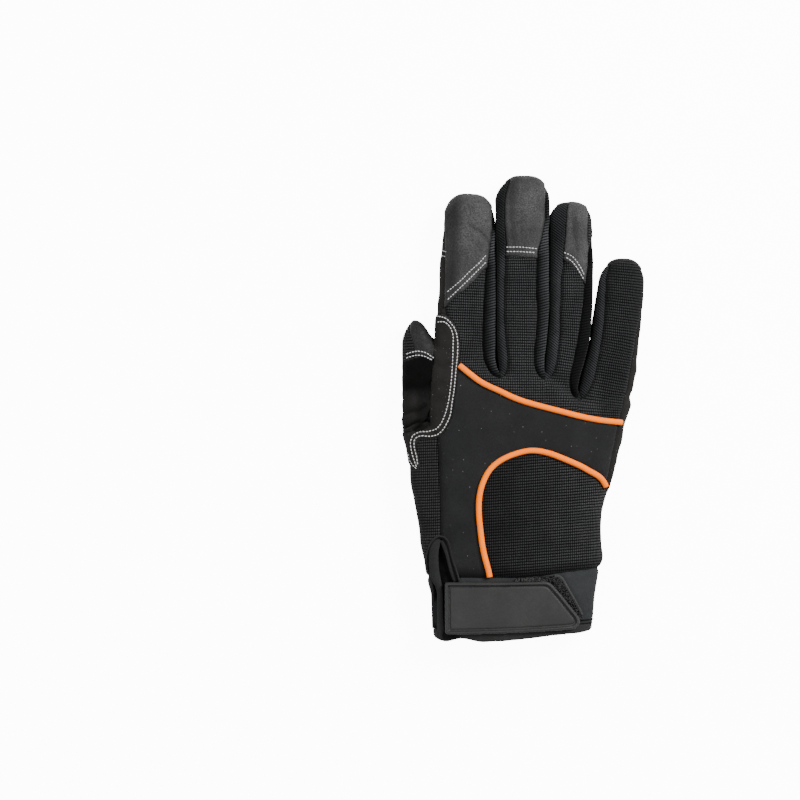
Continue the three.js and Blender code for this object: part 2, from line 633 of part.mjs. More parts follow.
// The wrist strap lies over the cuff and its hem: a base, and on it a tab with a raised rim.
const strapPoint = (along, up) => {
  const corner = plan(STRAP_CORNER);
  const turn = radians(STRAP_TURN);
  return new THREE.Vector2(
    corner.x + along * Math.cos(turn) - up * Math.sin(turn),
    corner.y + along * Math.sin(turn) + up * Math.cos(turn),
  );
};
const strapCorners = (rows) => rows.map(
  (row) => strapPoint(row.along * STRAP_LENGTH - row.back * STRAP_SLANT, row.up * STRAP_HEIGHT),
);
const baseTop = STRAP_HEIGHT + STRAP_EDGE;
const baseEnd = STRAP_LENGTH - STRAP_SLANT + STRAP_OVERHANG;
const baseOutline = [
  ...strapCorners(STRAP_BASE),
  strapPoint(baseEnd + STRAP_EDGE / 4, baseTop - STRAP_EDGE),
  strapPoint(baseEnd - STRAP_EDGE, baseTop),
  strapPoint(STRAP_SLANT * 0.75, baseTop),
  strapPoint(STRAP_SLANT * 0.65, STRAP_HEIGHT - STRAP_EDGE / 2),
  strapPoint(STRAP_EDGE, STRAP_HEIGHT - STRAP_EDGE / 2),
];
const baseFloor = HEM_STEP + SEAM_GAP;
const tabFloor = baseFloor + STRAP_BASE_THICKNESS + SEAM_GAP;
const tabTop = tabFloor + STRAP_TAB_THICKNESS;
const tabOutline = strapCorners(STRAP_TAB);
const field = prism([
  strapPoint(STRAP_RIM_WIDTH, STRAP_RIM_WIDTH),
  strapPoint(STRAP_LENGTH - STRAP_RIM_WIDTH * 2.2, STRAP_RIM_WIDTH),
  strapPoint(STRAP_LENGTH - STRAP_RIM_WIDTH * 1.3, STRAP_HEIGHT / 5),
  strapPoint(STRAP_LENGTH - STRAP_SLANT - STRAP_RIM_WIDTH * 0.6, STRAP_HEIGHT - STRAP_RIM_WIDTH),
  strapPoint(STRAP_RIM_WIDTH, STRAP_HEIGHT - STRAP_RIM_WIDTH),
], SPLIT);
const rim = prism(tabOutline, SPLIT).subtract(field);
const baseSheet = layer(baseFloor, baseFloor + STRAP_BASE_THICKNESS);
nodes.set("strap_base", baseSheet.intersect(prism(baseOutline, SPLIT)));
nodes.set("strap_tab", layer(tabFloor, tabTop).intersect(prism(tabOutline, SPLIT))
  .add(layer(tabFloor, tabTop + STRAP_RIM).intersect(rim)));

// The vent's binding and the gusset that closes it from inside.
const ventSeen = smooth([...VENT_LEFT.slice(1), ...VENT_TOP, ...VENT_RIGHT].map(plan), 18);
const ventCord = draped(wrist(CUFF_STEP), ventSeen);
clear(cord(ventCord, VENT_BEAD / 2 + SEAM_GAP));
nodes.set("vent_binding", cord(ventCord, VENT_BEAD / 2));
const gussetTop = -FABRIC - SEAM_GAP;
const inside = handSolid(gussetTop - GUSSET_THICKNESS, FABRIC * 4);
nodes.set("vent_gusset", handSolid(gussetTop).subtract(inside)
  .intersect(prism(grown(ventOutline, GUSSET_SEAM), SPLIT)));

// Colours by cloth.
const KNIT = 0x2e2f33;
const SUEDE = 0x221f1e;
const LEATHER = 0x45464a;
const FOAM_CLOTH = 0x1b1d26;
const RUBBER = 0x3e3f42;
const ORANGE = 0xff6a2c;
const TAPE = 0x18181b;
const COLOURS = {
  index_tip_cap: LEATHER, middle_tip_cap: LEATHER, ring_tip_cap: LEATHER, little_tip_cap: LEATHER,
  thumb_tip_cap: LEATHER, side_strip_index_middle: KNIT, side_strip_middle_ring: KNIT,
  side_strip_ring_little: KNIT, thumb_knit: KNIT, wrist_knit: KNIT, back_knit: KNIT, knuckle_panel: FOAM_CLOTH,
  upper_piping: ORANGE, lower_piping: ORANGE, cuff: FOAM_CLOTH, cuff_hem: TAPE, vent_binding: TAPE,
  vent_gusset: FOAM_CLOTH, strap_base: TAPE, strap_tab: RUBBER,
};

// The origin is below the middle of the whole glove.
const group = new THREE.Group();
for (const [name, solid] of nodes) {
  const colour = COLOURS[name] ?? SUEDE;
  const mesh = new THREE.Mesh(geometryOf(main(solid)), new THREE.MeshStandardMaterial({ color: colour }));
  mesh.name = name;
  group.add(mesh);
}
const bounds = new THREE.Box3().setFromObject(group, true);
const centre = bounds.getCenter(new THREE.Vector3());
for (const mesh of group.children) mesh.geometry.translate(-centre.x, -centre.y, -bounds.min.z);

export default group;
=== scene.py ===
import math

import bpy
import numpy as np
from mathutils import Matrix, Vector
from mathutils.bvhtree import BVHTree
from mathutils.kdtree import KDTree


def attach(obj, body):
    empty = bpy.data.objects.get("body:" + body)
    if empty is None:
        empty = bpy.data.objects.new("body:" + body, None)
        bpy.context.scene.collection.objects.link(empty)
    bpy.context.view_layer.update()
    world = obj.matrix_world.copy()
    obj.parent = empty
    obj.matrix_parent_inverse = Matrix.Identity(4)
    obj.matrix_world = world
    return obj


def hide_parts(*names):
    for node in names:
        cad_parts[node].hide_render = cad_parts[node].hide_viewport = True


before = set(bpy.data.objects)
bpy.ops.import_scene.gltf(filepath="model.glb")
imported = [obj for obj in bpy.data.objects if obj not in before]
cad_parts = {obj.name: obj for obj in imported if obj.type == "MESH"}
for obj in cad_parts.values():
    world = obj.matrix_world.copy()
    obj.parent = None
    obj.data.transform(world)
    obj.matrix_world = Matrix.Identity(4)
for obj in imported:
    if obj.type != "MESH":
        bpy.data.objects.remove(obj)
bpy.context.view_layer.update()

MM = 0.001
FAR = 300.0
WALL = 1.9  # from the cloth's outside to its inside
CREASE_HALF = 0.32  # half the gap between neighbouring fingers
FLOOR_GLOW = 11.0
SKY = 0.42
rng = np.random.default_rng(7)

# Tables, with everything seen from above.

# Digits seen from above: Y, then the X of the left and right edge. tip is where the rounded end starts, its
# length, its exponent and how square it is. z is the underside and the top at the root and at the tip.
DIGITS = {
    "index": {
        "rows": [
            (-12.2, -46.6, -12.7), (4.8, -47.4, -12.7), (17.0, -48.0, -13.0), (31.3, -47.7, -13.8),
            (41.9, -46.6, -14.2), (51.4, -45.8, -14.3), (63.1, -44.8, -14.4), (80.6, -44.0, -14.5),
            (89.6, -42.8, -14.7), (97.5, -42.2, -15.2),
        ],
        "tip": (95.9, 18.0, 2.3, 2.65), "z": (1.4, 19.5, 0.4, 17.0),
    },
    "middle": {
        "rows": [
            (-11.1, -13.8, 11.7), (17.0, -12.7, 11.1), (31.3, -13.5, 12.3), (41.9, -14.0, 13.2),
            (57.8, -14.3, 13.8), (80.6, -14.5, 13.8), (97.5, -15.3, 13.8), (106.5, -15.2, 14.0),
            (115.0, -14.3, 14.2), (122.4, -13.5, 14.3),
        ],
        "tip": (106.5, 17.0, 2.4, 2.5), "z": (1.4, 20.0, 0.4, 17.5),
    },
    "ring": {
        "rows": [
            (-16.4, 8.5, 27.6), (4.8, 10.3, 29.2), (17.0, 11.3, 30.5), (26.0, 11.7, 32.9), (36.6, 12.7, 35.0),
            (47.2, 13.5, 36.1), (68.4, 13.8, 36.7), (89.6, 13.8, 36.5), (99.1, 13.9, 36.4),
            (106.5, 14.3, 36.4),
        ],
        "tip": (97.7, 11.7, 2.6, 2.6), "z": (1.4, 19.5, 0.4, 16.5),
    },
    "little": {
        "rows": [
            (-21.7, 25.4, 48.8), (-8.5, 26.5, 51.1), (4.8, 28.9, 55.9), (16.4, 30.5, 59.4), (28.1, 33.1, 60.7),
            (36.6, 35.5, 61.7), (47.2, 37.1, 63.0), (57.8, 38.8, 63.9), (65.7, 40.2, 64.3), (72.6, 41.1, 64.7),
            (79.0, 41.9, 64.9),
        ],
        "tip": (63.6, 16.0, 2.4, 2.6), "z": (1.4, 18.5, 0.4, 15.5),
    },
    "thumb": {
        "rows": [
            (-97.0, -48.5, -36.6), (-89.0, -50.4, -36.6), (-80.0, -52.2, -37.1), (-69.4, -54.4, -37.6),
            (-58.8, -55.7, -38.7), (-48.2, -58.0, -40.3), (-37.6, -59.9, -41.3), (-27.0, -60.7, -42.9),
            (-19.6, -62.0, -44.5), (-13.2, -63.6, -46.1), (-5.8, -63.8, -47.4), (4.8, -63.8, -47.8),
            (18.0, -63.9, -47.7), (30.2, -64.1, -48.1), (36.6, -64.2, -49.0), (41.9, -64.1, -50.4),
            (47.2, -63.8, -51.9),
        ],
        "tip": (30.2, 16.4, 2.3, 2.3), "z": (1.2, 20.0, 0.5, 15.5),
    },
}
# The hand: Y, then the X of its left and right edge.
HAND = [
    (-133.0, -46.1, 32.9), (-123.0, -46.6, 32.3), (-119.2, -47.0, 33.7), (-117.1, -47.2, 35.1),
    (-114.5, -47.4, 36.1), (-110.8, -47.7, 36.7), (-101.2, -48.5, 37.6), (-93.3, -49.3, 38.8),
    (-86.4, -49.7, 39.9), (-83.5, -49.8, 40.6), (-81.6, -49.8, 41.6), (-72.1, -49.8, 41.6),
    (-61.5, -49.8, 41.3), (-53.5, -49.8, 41.9), (-47.2, -49.8, 43.5), (-40.3, -49.8, 46.1),
    (-33.4, -49.8, 48.0), (-24.4, -49.8, 49.6), (-16.4, -49.8, 50.6), (-8.5, -49.6, 51.7), (2.1, -49.3, 54.2),
    (12.7, -48.8, 58.0), (23.3, -48.0, 59.4), (36.6, -46.9, 61.0),
]
# Its underside and top along Y.
HAND_HEIGHTS = [
    (-133.0, 0.7, 22.5), (-117.1, 0.7, 23.0), (-101.2, 0.7, 23.6), (-89.0, 0.8, 24.2), (-80.0, 1.0, 24.6),
    (-48.2, 1.8, 25.6), (-16.4, 2.4, 26.2), (-0.5, 2.2, 25.4), (12.7, 1.8, 23.2), (36.6, 1.5, 20.0),
]
# Where the hand ends between the fingers: X, then Y.
HAND_END = [
    (-55.1, 30.2), (-28.6, 19.6), (-12.7, 11.7), (-1.1, 11.7), (11.1, 11.4), (20.1, 5.8), (29.2, -1.1),
    (45.6, -1.6), (66.8, 4.8),
]
# Creases between neighbours: the Y above which they are open, how far a web fills them, and their line.
CREASES = [
    (19.9, 9.0, [
        (-11.7, 10.1), (-12.4, 19.1), (-14.2, 23.1), (-15.1, 27.3), (-14.8, 34.5), (-14.5, 44.5),
        (-14.3, 57.8), (-14.5, 80.6), (-14.7, 100.2), (-14.8, 132.0),
    ]),
    (20.7, 9.0, [
        (11.2, 9.0), (11.3, 18.6), (11.3, 26.0), (12.5, 36.6), (13.7, 47.2), (13.9, 68.4), (13.9, 94.9),
        (13.8, 132.0),
    ]),
    (9.8, 19.0, [
        (28.4, 0.5), (28.6, 10.1), (29.7, 15.9), (31.5, 21.7), (33.6, 28.6), (35.9, 37.1), (36.7, 44.5),
        (37.6, 57.8), (39.2, 84.3),
    ]),
    (-8.5, 12.0, [
        (-49.0, -16.4), (-49.3, -8.0), (-49.4, -1.6), (-49.2, 5.8), (-48.7, 14.3), (-47.9, 23.3),
        (-47.5, 31.3), (-46.9, 41.9), (-45.6, 57.8),
    ]),
]

# Seams of the back, seen from above.
INDEX_LEFT = [(-40.5, 121.4), (-41.3, 108.1), (-41.3, 80.6), (-41.6, 63.1), (-41.9, 53.0)]
INDEX_RIGHT = [
    (-14.3, 126.7), (-15.6, 108.1), (-15.9, 102.8), (-17.0, 94.9), (-17.8, 88.0), (-18.7, 80.6), (-20.0, 71.0),
    (-20.8, 60.4), (-21.4, 49.8), (-21.7, 39.2), (-21.5, 32.3), (-20.9, 27.0), (-19.3, 22.8), (-17.0, 19.6),
    (-14.5, 17.6), (-12.2, 17.1),
]
MIDDLE_LEFT = [
    (-2.1, 129.3), (-4.2, 126.1), (-6.4, 122.4), (-8.3, 118.2), (-9.5, 113.4), (-10.1, 108.7), (-10.3, 102.8),
    (-9.9, 94.9), (-9.3, 88.0), (-9.9, 80.0), (-10.4, 68.4), (-10.5, 57.8), (-10.3, 41.9), (-9.5, 33.9),
    (-8.9, 27.6), (-8.9, 22.8), (-10.0, 19.2), (-12.2, 17.1),
]
MIDDLE_RIGHT = [
    (13.2, 126.7), (12.9, 120.3), (12.7, 114.5), (12.4, 108.7), (11.7, 103.4), (10.4, 95.9), (9.0, 89.0),
    (7.7, 84.3), (7.2, 77.9), (6.9, 63.1), (7.4, 52.5), (7.1, 42.9), (6.1, 33.9), (5.5, 27.6), (5.9, 23.1),
    (7.4, 19.7), (9.5, 17.1), (11.2, 16.4),
]
RING_LEFT = [
    (23.9, 116.1), (23.3, 108.7), (22.8, 104.4), (22.3, 97.5), (21.7, 89.6), (21.2, 84.3), (21.2, 79.0),
    (19.6, 68.4), (19.3, 57.8), (19.1, 47.2), (18.7, 37.6), (17.6, 28.1), (16.3, 21.7), (14.7, 18.4),
    (12.9, 16.9), (11.2, 16.4),
]
RING_RIGHT = [
    (38.7, 116.1), (37.4, 104.4), (37.1, 97.5), (36.5, 90.6), (35.0, 81.1), (33.6, 73.7), (32.9, 68.4),
    (32.0, 57.8), (30.5, 47.2), (29.2, 38.7), (27.8, 31.8), (26.5, 25.4), (25.0, 19.1), (24.5, 13.8),
    (25.1, 10.3), (26.9, 7.2), (29.4, 5.3),
]
LITTLE_LEFT = [
    (48.8, 84.3), (46.6, 78.4), (45.1, 74.7), (43.7, 70.5), (43.5, 63.1), (43.0, 52.5), (42.2, 43.5),
    (40.8, 35.0), (39.4, 26.5), (38.1, 20.1), (36.1, 13.6), (34.0, 9.3), (31.6, 6.5), (29.4, 5.3),
]
LITTLE_RIGHT = [
    (72.1, 84.3), (65.7, 63.1), (62.5, 47.2), (61.0, 40.8), (59.4, 31.3), (57.2, 19.6), (55.7, 11.1),
    (53.0, 2.1), (51.7, -4.2), (49.8, -11.1), (48.2, -19.1), (46.6, -27.0), (44.8, -36.6), (41.9, -44.0),
]
UPPER_PIPING = [
    (-34.2, 23.1), (-28.6, 18.6), (-23.3, 14.5), (-18.0, 11.7), (-12.7, 9.4), (-7.4, 6.7), (-2.1, 4.6),
    (8.5, 1.5), (19.1, -1.2), (29.7, -3.9), (40.3, -5.9), (51.4, -7.0),
]
LOWER_PIPING = [
    (43.1, -40.8), (42.1, -38.5), (39.9, -35.8), (35.0, -33.1), (29.7, -30.0), (24.4, -27.7), (19.1, -25.5),
    (13.8, -23.5), (8.5, -22.2), (3.2, -21.8), (-2.1, -22.8), (-7.4, -24.5), (-12.7, -27.1), (-18.0, -31.6),
    (-21.4, -37.6), (-23.1, -42.9), (-23.9, -48.2), (-24.0, -53.5), (-23.7, -58.8), (-23.1, -64.1),
    (-22.5, -69.4), (-21.6, -74.7), (-20.4, -80.0), (-18.8, -85.3), (-18.2, -88.8),
]
KNUCKLE_LEFT = [
    (-38.2, 22.8), (-40.3, 4.8), (-45.8, -14.8), (-45.6, -21.7), (-45.1, -32.3), (-44.5, -48.2),
    (-44.3, -66.2), (-44.3, -80.0),
]
CUFF_SEAM = [
    (-76.3, -89.0), (-49.3, -89.0), (-23.3, -89.3), (-2.1, -89.3), (8.5, -88.5), (19.1, -86.9), (29.7, -85.6),
    (40.3, -84.5), (72.1, -81.1),
]
PATCH_EDGE = [
    (-46.6, 51.1), (-41.3, 50.1), (-37.6, 46.6), (-35.1, 42.1), (-33.9, 36.3), (-33.9, 30.2), (-34.9, 20.9),
    (-36.0, 9.5), (-37.2, 1.6), (-38.1, -4.0), (-40.5, -9.5), (-42.7, -12.7), (-46.1, -15.3), (-49.3, -15.8),
    (-55.1, -15.9), (-56.4, -17.0), (-56.9, -19.6), (-55.8, -24.9), (-54.8, -30.7), (-56.2, -32.9),
    (-58.8, -31.8), (-61.0, -28.1), (-62.8, -22.8),
]
PATCH_OUTER_STITCH = [
    (-46.4, 49.4), (-41.9, 48.3), (-38.5, 45.3), (-36.2, 41.3), (-35.2, 36.0), (-35.2, 30.2), (-36.1, 21.0),
    (-37.2, 9.7), (-38.4, 2.1), (-39.2, -3.2), (-41.5, -8.5), (-43.5, -11.5), (-46.4, -13.8), (-49.4, -14.4),
    (-55.9, -14.6), (-57.8, -15.9), (-58.3, -18.8), (-57.0, -25.1), (-56.2, -30.4),
]
PATCH_INNER_STITCH = [
    (-45.9, 46.2), (-42.2, 46.2), (-39.4, 43.8), (-37.8, 40.0), (-37.6, 32.4), (-38.0, 22.6), (-39.0, 11.1),
    (-40.3, 2.9), (-41.9, -2.9), (-44.0, -7.7), (-46.4, -10.4), (-50.6, -11.8), (-56.2, -12.5), (-58.8, -14.1),
    (-60.0, -17.0), (-59.7, -21.7), (-58.3, -27.0), (-56.7, -31.3),
]
CAP_HEMS = {
    "index": [
        (-44.5, 50.9), (-41.9, 53.5), (-38.2, 57.8), (-32.9, 62.0), (-26.0, 68.4), (-19.6, 75.8),
        (-17.0, 79.0),
    ],
    "middle": [(-12.7, 81.6), (-9.5, 81.4), (-2.1, 80.6), (6.9, 80.3), (11.1, 80.3)],
    "ring": [
        (19.1, 80.6), (21.7, 79.0), (26.0, 75.8), (29.7, 71.3), (31.8, 67.6), (33.9, 64.7),
    ],
}
VENT = [
    (-47.4, -122.4), (-47.4, -101.2), (-49.3, -92.8), (-50.6, -85.3), (-51.4, -77.9), (-50.9, -73.1),
    (-48.5, -69.7), (-45.6, -67.9), (-42.9, -68.5), (-40.8, -71.0), (-39.4, -76.1), (-37.5, -82.7),
    (-35.2, -90.6), (-34.5, -101.2), (-33.9, -122.4),
]


# Curves and outlines.


def run_of(points):
    """How far along a line of points each of them lies."""
    return np.concatenate([[0], np.cumsum(np.linalg.norm(np.diff(points, axis=0), axis=1))])


def unit(vectors):
    return vectors / np.maximum(np.linalg.norm(vectors, axis=1), 1e-9)[:, None]


def eased(loop, rounds):
    """A closed line, smoothed."""
    for _ in range(rounds):
        loop = (np.roll(loop, 1, 0) + 2 * loop + np.roll(loop, -1, 0)) / 4
    return loop


def span(table, y):
    """A smooth table's two columns at places y of its first one."""
    return [np.interp(y, table[0], table[1][:, k]) for k in (0, 1)]


def hermite(rows, step=0.5):
    """A table's columns at even steps of its first one, along smooth curves."""
    rows = np.array(rows, float)
    rows = rows[np.argsort(rows[:, 0], kind="stable")]
    y, v = rows[:, 0], rows[:, 1:]
    slope = np.gradient(v, y, axis=0)
    fine = np.arange(y[0], y[-1] + step, step)
    i = np.clip(np.searchsorted(y, fine, "right") - 1, 0, len(y) - 2)
    h = (y[i + 1] - y[i])[:, None]
    t = np.clip((fine - y[i])[:, None] / h, 0, 1)
    a = v[i] * (2 * t**3 - 3 * t**2 + 1) + slope[i] * h * (t**3 - 2 * t**2 + t)
    return fine, a + v[i + 1] * (3 * t**2 - 2 * t**3) + slope[i + 1] * h * (t**3 - t**2)


def resample(points, spacing, closed=False):
    """A smooth curve through points, as points at even spacing."""
    p = np.array(points, float)
    if closed:
        p = np.vstack([p, p[:1]])
    chord = run_of(p)
    keep = np.concatenate([[True], np.diff(chord) > 1e-6])
    _, fine = hermite(np.column_stack([chord[keep], p[keep]]), min(spacing, 0.4) / 2)
    run = run_of(fine)
    count = max(int(round(run[-1] / spacing)), 2)
    at = np.linspace(0, run[-1], count + 1)
    return np.column_stack([np.interp(at, run, fine[:, k]) for k in range(fine.shape[1])])


def rounded(points, spacing, rounds):
    """A closed outline with straight sides and small rounded corners."""
    p = np.array([*points, points[0]], float)
    run = run_of(p)
    at = np.linspace(0, run[-1], int(run[-1] / spacing), endpoint=False)
    line = np.column_stack([np.interp(at, run, p[:, 0]), np.interp(at, run, p[:, 1])])
    return eased(line, rounds)


def inside(polygon, x, y):
    """Which points lie in a polygon."""
    result = np.zeros(len(x), bool)
    poly = np.asarray(polygon)
    box = (x > poly[:, 0].min()) & (x < poly[:, 0].max()) & (y > poly[:, 1].min()) & (y < poly[:, 1].max())
    xs, ys = x[box], y[box]
    hit = np.zeros(len(xs), bool)
    for (x0, y0), (x1, y1) in zip(poly, np.roll(poly, -1, axis=0)):
        if y0 == y1:
            continue
        hit ^= ((y0 > ys) != (y1 > ys)) & (xs < (x1 - x0) * (ys - y0) / (y1 - y0) + x0)
    result[box] = hit
    return result


def along(curve, y):
    """The X of a curve, given as points by falling or rising Y, at heights y."""
    c = np.array(sorted(curve, key=lambda p: p[1]))
    return np.interp(y, c[:, 1], c[:, 0])


# The bare body: a field, negative inside, and a mesh of its surface.

FIELDS = {name: hermite(d["rows"]) for name, d in DIGITS.items()}
HAND_SIDES = hermite(HAND)
HAND_RISE = hermite(HAND_HEIGHTS)
HAND_TIP = resample(HAND_END, 2.0)
FINGERS = ["index", "middle", "ring", "little"]


def oval(u, v, low_power=3.0, side_power=3.4):
    return np.abs(u) ** side_power + np.where(v > 0, np.abs(v) ** 2.4, np.abs(v) ** low_power)


def digit(name, p):
    y_row, sides = FIELDS[name]
    start, length, power, square = DIGITS[name]["tip"]
    low0, high0, low1, high1 = DIGITS[name]["z"]
    root = y_row[0] + 6
    x, y, z = p.T
    near = (x > sides[:, 0].min() - 7) & (x < sides[:, 1].max() + 7)
    near &= (y > root - 14) & (y < start + length + 6)
    result = np.full(len(p), 9.0)
    x, y, z = x[near], y[near], z[near]
    left, right = span(FIELDS[name], y)
    t = np.clip((y - root) / (start - root), 0, 1)
    low, high = low0 + (low1 - low0) * t, high0 + (high1 - high0) * t
    half = (high - low) / 2
    ahead = np.maximum(y - start, 0) / length
    side_power = 3.3 + (square - 3.3) * np.clip(ahead * 1.6, 0, 1)
    r = oval((2 * x - left - right) / (right - left), (z - low - half) / half, 3.0, side_power)
    r = r + ahead**power + (np.maximum(root - y, 0) / 8) ** 2
    result[near] = (r ** (1 / 2.6) - 1) * half
    return result


def hand(p):
    x, y, z = p.T
    left, right = span(HAND_SIDES, y)
    low, high = span(HAND_RISE, y)
    half = (high - low) / 2
    end = np.interp(x, HAND_TIP[:, 0], HAND_TIP[:, 1])
    r = oval((2 * x - left - right) / (right - left), (z - low - half) / half, 3.4, 2.5)
    r = r + (np.maximum(y - end, 0) / 6.0) ** 2
    return (r ** (1 / 2.4) - 1) * half


def blend_min(a, b, reach):
    h = np.maximum(reach - np.abs(a - b), 0) / reach
    return np.minimum(a, b) - h * h * reach / 4


def field(p):
    fingers = np.minimum.reduce([digit(name, p) for name in FINGERS])
    body = blend_min(hand(p), fingers, 5.0)
    body = blend_min(body, digit("thumb", p), 4.0)
    for open_above, web, crease in CREASES:
        slab = np.maximum(np.abs(p[:, 0] - along(crease, p[:, 1])) - CREASE_HALF, open_above - p[:, 1])
        slab = np.maximum(slab, 14.0 * (1 - (p[:, 1] - open_above) / web) - p[:, 2])
        body = np.maximum(body, -slab)
    return body


def slope_of(p, eps=0.05):
    base = field(p)
    g = np.column_stack([field(p + np.eye(3)[k] * eps) - base for k in range(3)]) / eps
    return base, g


def onto_surface(p, rounds, limit=0.6):
    for _ in range(rounds):
        f, g = slope_of(p)
        step = -(f / np.maximum((g * g).sum(1), 0.05))[:, None] * g
        size = np.linalg.norm(step, axis=1)
        p = p + step * np.minimum(1, limit / np.maximum(size, 1e-9))[:, None]
    return p


def surface_net(function, low, high, step):
    """Quads over the places where a function changes sign on a grid."""
    axes = [np.arange(low[k], high[k], step[k]) for k in range(3)]
    shape = tuple(len(a) for a in axes)
    values = np.empty(shape, np.float32)
    for i in range(shape[0]):
        gy, gz = np.meshgrid(axes[1], axes[2], indexing="ij")
        layer = np.column_stack([np.full(gy.size, axes[0][i]), gy.ravel(), gz.ravel()])
        values[i] = function(layer).reshape(gy.shape)
    solid = values < 0
    cut = tuple(slice(0, -1) for _ in range(3))
    count = np.zeros(tuple(s - 1 for s in shape), np.int8)
    for o in np.ndindex(2, 2, 2):
        count += solid[tuple(slice(o[k], shape[k] - 1 + o[k]) for k in range(3))]
    i, j, k = np.nonzero((count > 0) & (count < 8))
    ids = np.full(count.shape, -1, np.int64)
    ids[i, j, k] = np.arange(len(i))
    total, crossings = np.zeros((len(i), 3)), np.zeros(len(i))
    for axis in range(3):
        for b in (0, 1):
            for c in (0, 1):
                start = np.zeros(3, int)
                start[[(axis + 1) % 3, (axis + 2) % 3]] = b, c
                end = start.copy()
                end[axis] = 1
                f0 = values[i + start[0], j + start[1], k + start[2]]
                f1 = values[i + end[0], j + end[1], k + end[2]]
                m = (f0 < 0) != (f1 < 0)
                t = f0[m] / (f0[m] - f1[m])
                total[m] += start + (end - start) * t[:, None]
                crossings[m] += 1
    grid = np.column_stack([i, j, k]) + total / crossings[:, None]
    points = np.column_stack([axes[n][0] + grid[:, n] * step[n] for n in range(3)])
    quads = []
    for axis in range(3):
        b, c = (axis + 1) % 3, (axis + 2) % 3
        first = [slice(1, shape[n] - 1) for n in range(3)]
        first[axis] = slice(0, shape[axis] - 1)
        second = list(first)
        second[axis] = slice(1, shape[axis])
        s0, s1 = solid[tuple(first)], solid[tuple(second)]
        at = np.column_stack(np.nonzero(s0 != s1)) + np.array([0 if n == axis else 1 for n in range(3)])
        leaving = s0[s0 != s1]
        corners = []
        for db, dc in ((-1, -1), (0, -1), (0, 0), (-1, 0)):
            cell = at.copy()
            cell[:, b] += db
            cell[:, c] += dc
            corners.append(ids[cell[:, 0], cell[:, 1], cell[:, 2]])
        q = np.column_stack(corners)
        q[~leaving] = q[~leaving][:, ::-1]
        quads.append(q)
    return points, np.vstack(quads)


def edges_of(quads):
    """Every side of the quads as (low, high) vertex numbers, and the quad that it belongs to."""
    sides = np.vstack([quads[:, [n, (n + 1) % 4]] for n in range(4)])
    return np.sort(sides, axis=1), np.tile(np.arange(len(quads)), 4)


def averaged(values, pairs, n):
    """For each vertex the mean of its neighbours' values, and how many it has."""
    both = np.vstack([pairs, pairs[:, ::-1]])
    number = np.bincount(both[:, 0], minlength=n)
    v = values.reshape(n, -1)
    mean = np.column_stack([np.bincount(both[:, 0], v[both[:, 1], k], n) for k in range(v.shape[1])])
    return mean / np.maximum(number, 1)[:, None], number


# Which piece each face of the body belongs to.

def joined(*curves):
    return np.vstack([np.asarray(c, float) for c in curves])


def back(curve):
    return np.asarray(curve)[::-1]


def fine(curve):
    return resample(curve, 1.0)


upper, lower = fine(UPPER_PIPING), fine(LOWER_PIPING)
patch_edge = fine(PATCH_EDGE)
thumb_crease = np.array(CREASES[3][2])[1:8]
THUMB_HEM = [
    (-65.7, 26.2), (-62.0, 26.0), (-57.8, 26.8), (-53.0, 27.1), (-49.3, 25.4), (-46.1, 23.9),
]
THUMB_CAP_LEFT = [
    (-58.3, 52.5), (-59.6, 46.1), (-60.4, 42.1), (-59.4, 37.6), (-58.0, 31.8), (-57.8, 26.8),
]
THUMB_WEB = [(-49.3, -8.0), (-52.5, -10.9), (-57.2, -11.9), (-65.7, -11.4)]
cuff_seam = fine(CUFF_SEAM)
strips = {
    "side_strip_index_middle": joined(fine(INDEX_RIGHT), back(fine(MIDDLE_LEFT))),
    "side_strip_middle_ring": joined(fine(MIDDLE_RIGHT), back(fine(RING_LEFT))),
    "side_strip_ring_little": joined(fine(RING_RIGHT), back(fine(LITTLE_LEFT))),
}
STRIPS = list(strips)
web_end = back(THUMB_WEB)[:1] - [20, 0]
thumb_hem = fine(THUMB_HEM)
little_right = fine(LITTLE_RIGHT)
above_piping, below_piping = little_right[:, 1] > upper[-1][1], little_right[:, 1] < upper[-1][1]


def cap_region(finger, left, right):
    """A fingertip cap, between the finger's seams and beyond its hem."""
    hem = fine(CAP_HEMS[finger])
    sides = joined(fine(left), back(fine(right)))
    return finger + "_tip_cap", (sides, joined(hem, [(hem[-1][0], FAR), (hem[0][0], FAR)]))


# The pieces of the upper side and their outlines. A face goes to the first one that holds it.
TOP = [
    ("crotch_patch", joined(patch_edge, [(-FAR / 3, patch_edge[-1][1])], web_end, back(THUMB_WEB), thumb_crease)),
    *strips.items(),
    cap_region("index", INDEX_LEFT, INDEX_RIGHT),
    cap_region("middle", MIDDLE_LEFT, MIDDLE_RIGHT),
    cap_region("ring", RING_LEFT, RING_RIGHT),
    ("thumb_tip_cap", joined(fine(THUMB_CAP_LEFT), thumb_hem[thumb_hem[:, 0] > THUMB_CAP_LEFT[-1][0]],
                             [(-44.5, 31.3), (-44.5, 52.5)])),
    ("thumb_leather", joined(thumb_hem, back(thumb_crease)[1:], THUMB_WEB, web_end)),
    ("thumb_knit", joined([(-71.0, 57.8), (-58.3, 57.8)], fine(THUMB_CAP_LEFT), back(thumb_hem)[:1],
                          [(-71.0, 26.2)])),
    ("thumb_knit", joined(KNUCKLE_LEFT[2:], [(-44.3, -89.0), (-71.0, -89.0), (-71.0, -11.1)])),
    ("wrist_knit", joined(lower, [(-18.2, -95.9), (72.1, -95.9), (72.1, -48.2), (46.6, -48.2)])),
    ("knuckle_panel", joined(back(KNUCKLE_LEFT), upper,
                             little_right[below_piping & (little_right[:, 1] > lower[0][1])], lower,
                             [(-18.2, -95.9), (-44.3, -95.9)])),
    ("back_knit", joined(back(INDEX_LEFT), [(INDEX_LEFT[0][0], FAR), (FAR, FAR)], little_right[above_piping],
                         back(upper), [(-38.2, 22.8), (-39.2, 41.9)])),
]
